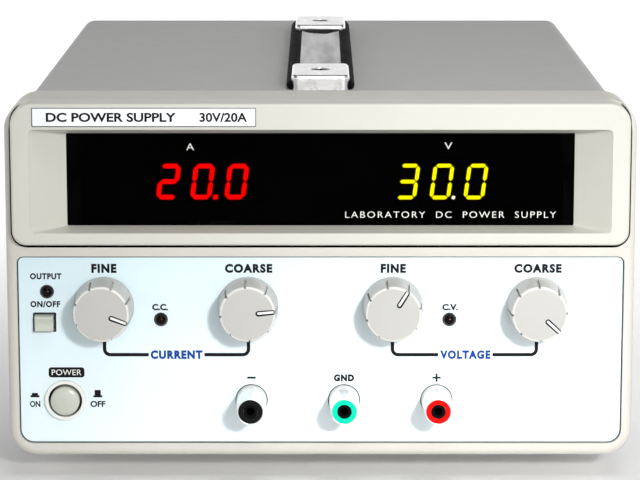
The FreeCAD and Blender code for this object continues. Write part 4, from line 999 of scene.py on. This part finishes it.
def strap_gloss():
    """The polished middle of the strap, from cap to cap, with an arched rear end."""
    top = span("handle_strap")[1].z
    first = span("handle_cap_front")[1].y + GLOSS_INSET
    last = span("handle_cap_rear")[0].y - GLOSS_INSET
    rings = []
    for share in [row / GLOSS_ROWS for row in range(GLOSS_ROWS + 1)]:
        row = []
        for place in [2 * step / GLOSS_STEPS - 1 for step in range(GLOSS_STEPS + 1)]:
            arch = ARCH_START + ARCH_DEEP * (1 - place ** 2)
            row.append((GLOSS_HALF * place, first + (last - arch - first) * share,
                        top + 0.02 + GLOSS_CROWN * (1 - place ** 4)))
        rings.append(row + [(across, y, top - GLOSS_THICK) for across, y, _ in reversed(row)])
    adopt(loft("strap_gloss", rings), BAND, "case")


def screw_dish_shades():
    """Painted shade: dark rings in the caps' dishes round the handle's screws."""
    for end in ("front", "rear"):
        low, high = span("handle_cap_" + end)
        y, floor = (low.y + high.y) / 2, high.z - DISH_SHADE_DEPTH
        rings = []
        for angle in [FULL_TURN * step / DISH_SHADE_STEPS for step in range(DISH_SHADE_STEPS)]:
            rings.append([(reach * math.sin(angle), y + reach * math.cos(angle), floor + up)
                          for reach, up in DISH_SHADE])
        adopt(loft("screw_dish_shade_" + end, rings, loop=True), DARK_SCREW_AND_DISH_SHADE, "case")


strap()
strap_gloss()
screw_dish_shades()
softened("handle_cap_front", 0.2)
softened("handle_cap_rear", 0.2)
softened("handle_screws", 0.15, look=DARK_SCREW_AND_DISH_SHADE)
for node, width in (("case_screws", 0.3), ("top_cover", 0.2), ("rear_panel", 0.2), ("rubber_feet", 0.6),
                    ("foot_screws", 0.3), ("fan_frame", 0.4), ("mains_inlet", 0.3), ("fuse_drawer", 0.25),
                    ("voltage_selector_body", 0.25), ("voltage_selector_slider", 0.25)):
    softened(node, width)


def rear_print():
    """Generic legends beside the inlet, the drawer and the selector."""
    face = span("rear_panel")[1].y
    inlet, selector = middle("mains_inlet"), middle("voltage_selector_body")
    edge = span("mains_inlet")[0].x - 1.5
    rows = (("rear_input", "AC INPUT", edge - 8, inlet.z + 12, 2.6, 15.0),
            ("rear_fuse", "FUSE", edge - 4.6, inlet.z - 13, 2.4, 8.2),
            ("rear_voltage", "110V / 220V  50/60Hz", selector.x, selector.z + 13.5, 2.6, 33.0))
    for name, words, x, z, high, wide in rows:
        lettering(name, words, x, z, high, wide, face, "white", facing=1)


rear_print()

# ---- stage ----

# In metres
FLOOR_FLAT, WALL_BEND, WALL_TOP, FLOOR_STEPS = 2.6, 0.9, 1.4, 64
GLOW_MIDDLE = (0, -0.7, 0)  # the floor glows least here, between the object and the camera


def stage():
    """A pale floor that curves up into a wall all round, and glows more the further out it is."""
    profile = [(0.0, 0.0), (FLOOR_FLAT, 0.0)]
    profile += [(FLOOR_FLAT + WALL_BEND * math.sin(math.radians(angle)),
                 WALL_BEND - WALL_BEND * math.cos(math.radians(angle))) for angle in range(10, 91, 10)]
    profile += [(FLOOR_FLAT + WALL_BEND, WALL_TOP)]
    steps = FLOOR_STEPS
    points = [(x, y, height) for radius, height in profile for x, y in circle(0, 0, radius, steps)]
    faces = [(row * steps + index, row * steps + (index + 1) % steps,
              (row + 1) * steps + (index + 1) % steps, (row + 1) * steps + index)
             for row in range(len(profile) - 1) for index in range(steps)]
    mesh = bpy.data.meshes.new("floor")
    mesh.from_pydata(points, [], faces)
    mesh.shade_smooth()
    floor = bpy.data.objects.new("floor", mesh)
    bpy.context.scene.collection.objects.link(floor)
    look = Finish("floor_paper", Roughness=0.8)
    look.drive("Base Color", look.blend(look.noise(300, 2), (0.69, 0.69, 0.69), (0.71, 0.71, 0.71)))
    look.shader.inputs["Emission Color"].default_value = (1, 1, 1, 1)
    away = look.add("ShaderNodeVectorMath", operation="DISTANCE")
    away.inputs[1].default_value = GLOW_MIDDLE
    look.link(look.add("ShaderNodeTexCoord").outputs["Object"], away.inputs[0])
    look.drive("Emission Strength", look.remap(away.outputs["Value"], 0.5, 1.3, 0.05, 0.75))
    mesh.materials.append(look.material)


def lamp(name, power, size, place, aim, spread=180):
    """A round studio lamp of so many watts and metres, aimed at a point, its spread in degrees."""
    data = bpy.data.lights.new(name, "AREA")
    data.energy = power
    data.shape = "DISK"
    data.size = size
    data.spread = math.radians(spread)
    item = bpy.data.objects.new(name, data)
    item.location = place
    item.rotation_euler = (Vector(aim) - Vector(place)).to_track_quat("-Z", "Y").to_euler()
    bpy.context.scene.collection.objects.link(item)


CAMERA_PLACE, CAMERA_DIP = (-0.0002, -1.3137, 0.320), 10.65  # metres, and degrees below level
CAMERA_LENS, CAMERA_SENSOR, CAMERA_NEAR = 156.56, 36, 0.05


def camera():
    """The camera at the photograph's viewing angle."""
    data = bpy.data.cameras.new("camera")
    data.lens = CAMERA_LENS
    data.sensor_width = CAMERA_SENSOR
    data.clip_start = CAMERA_NEAR
    item = bpy.data.objects.new("camera", data)
    item.location = CAMERA_PLACE
    item.rotation_euler = (math.radians(90 - CAMERA_DIP), 0, 0)
    bpy.context.scene.collection.objects.link(item)
    bpy.context.scene.camera = item


WORLD_LIGHT = 0.12

stage()
lamp("key", 0.68, 0.14, (0.373, -1.38, 0.52), (0.1, -0.16, 0.04), 36)
lamp("overhead", 5.2, 0.8, (0.15, -0.6, 1.3), (0, 0, 0.12))
lamp("rear_left", 3.5, 0.8, (-1.3, 0.9, 0.8), (0, 0, 0.08))
lamp("rear_right", 3.5, 0.8, (1.3, 0.9, 0.8), (0, 0, 0.08))
world = bpy.data.worlds.new("room")
world.use_nodes = True
backdrop = world.node_tree.nodes["Background"]
backdrop.inputs["Color"].default_value = (1, 1, 1, 1)
backdrop.inputs["Strength"].default_value = WORLD_LIGHT
bpy.context.scene.world = world
bpy.context.scene.view_settings.view_transform = "Standard"
camera()
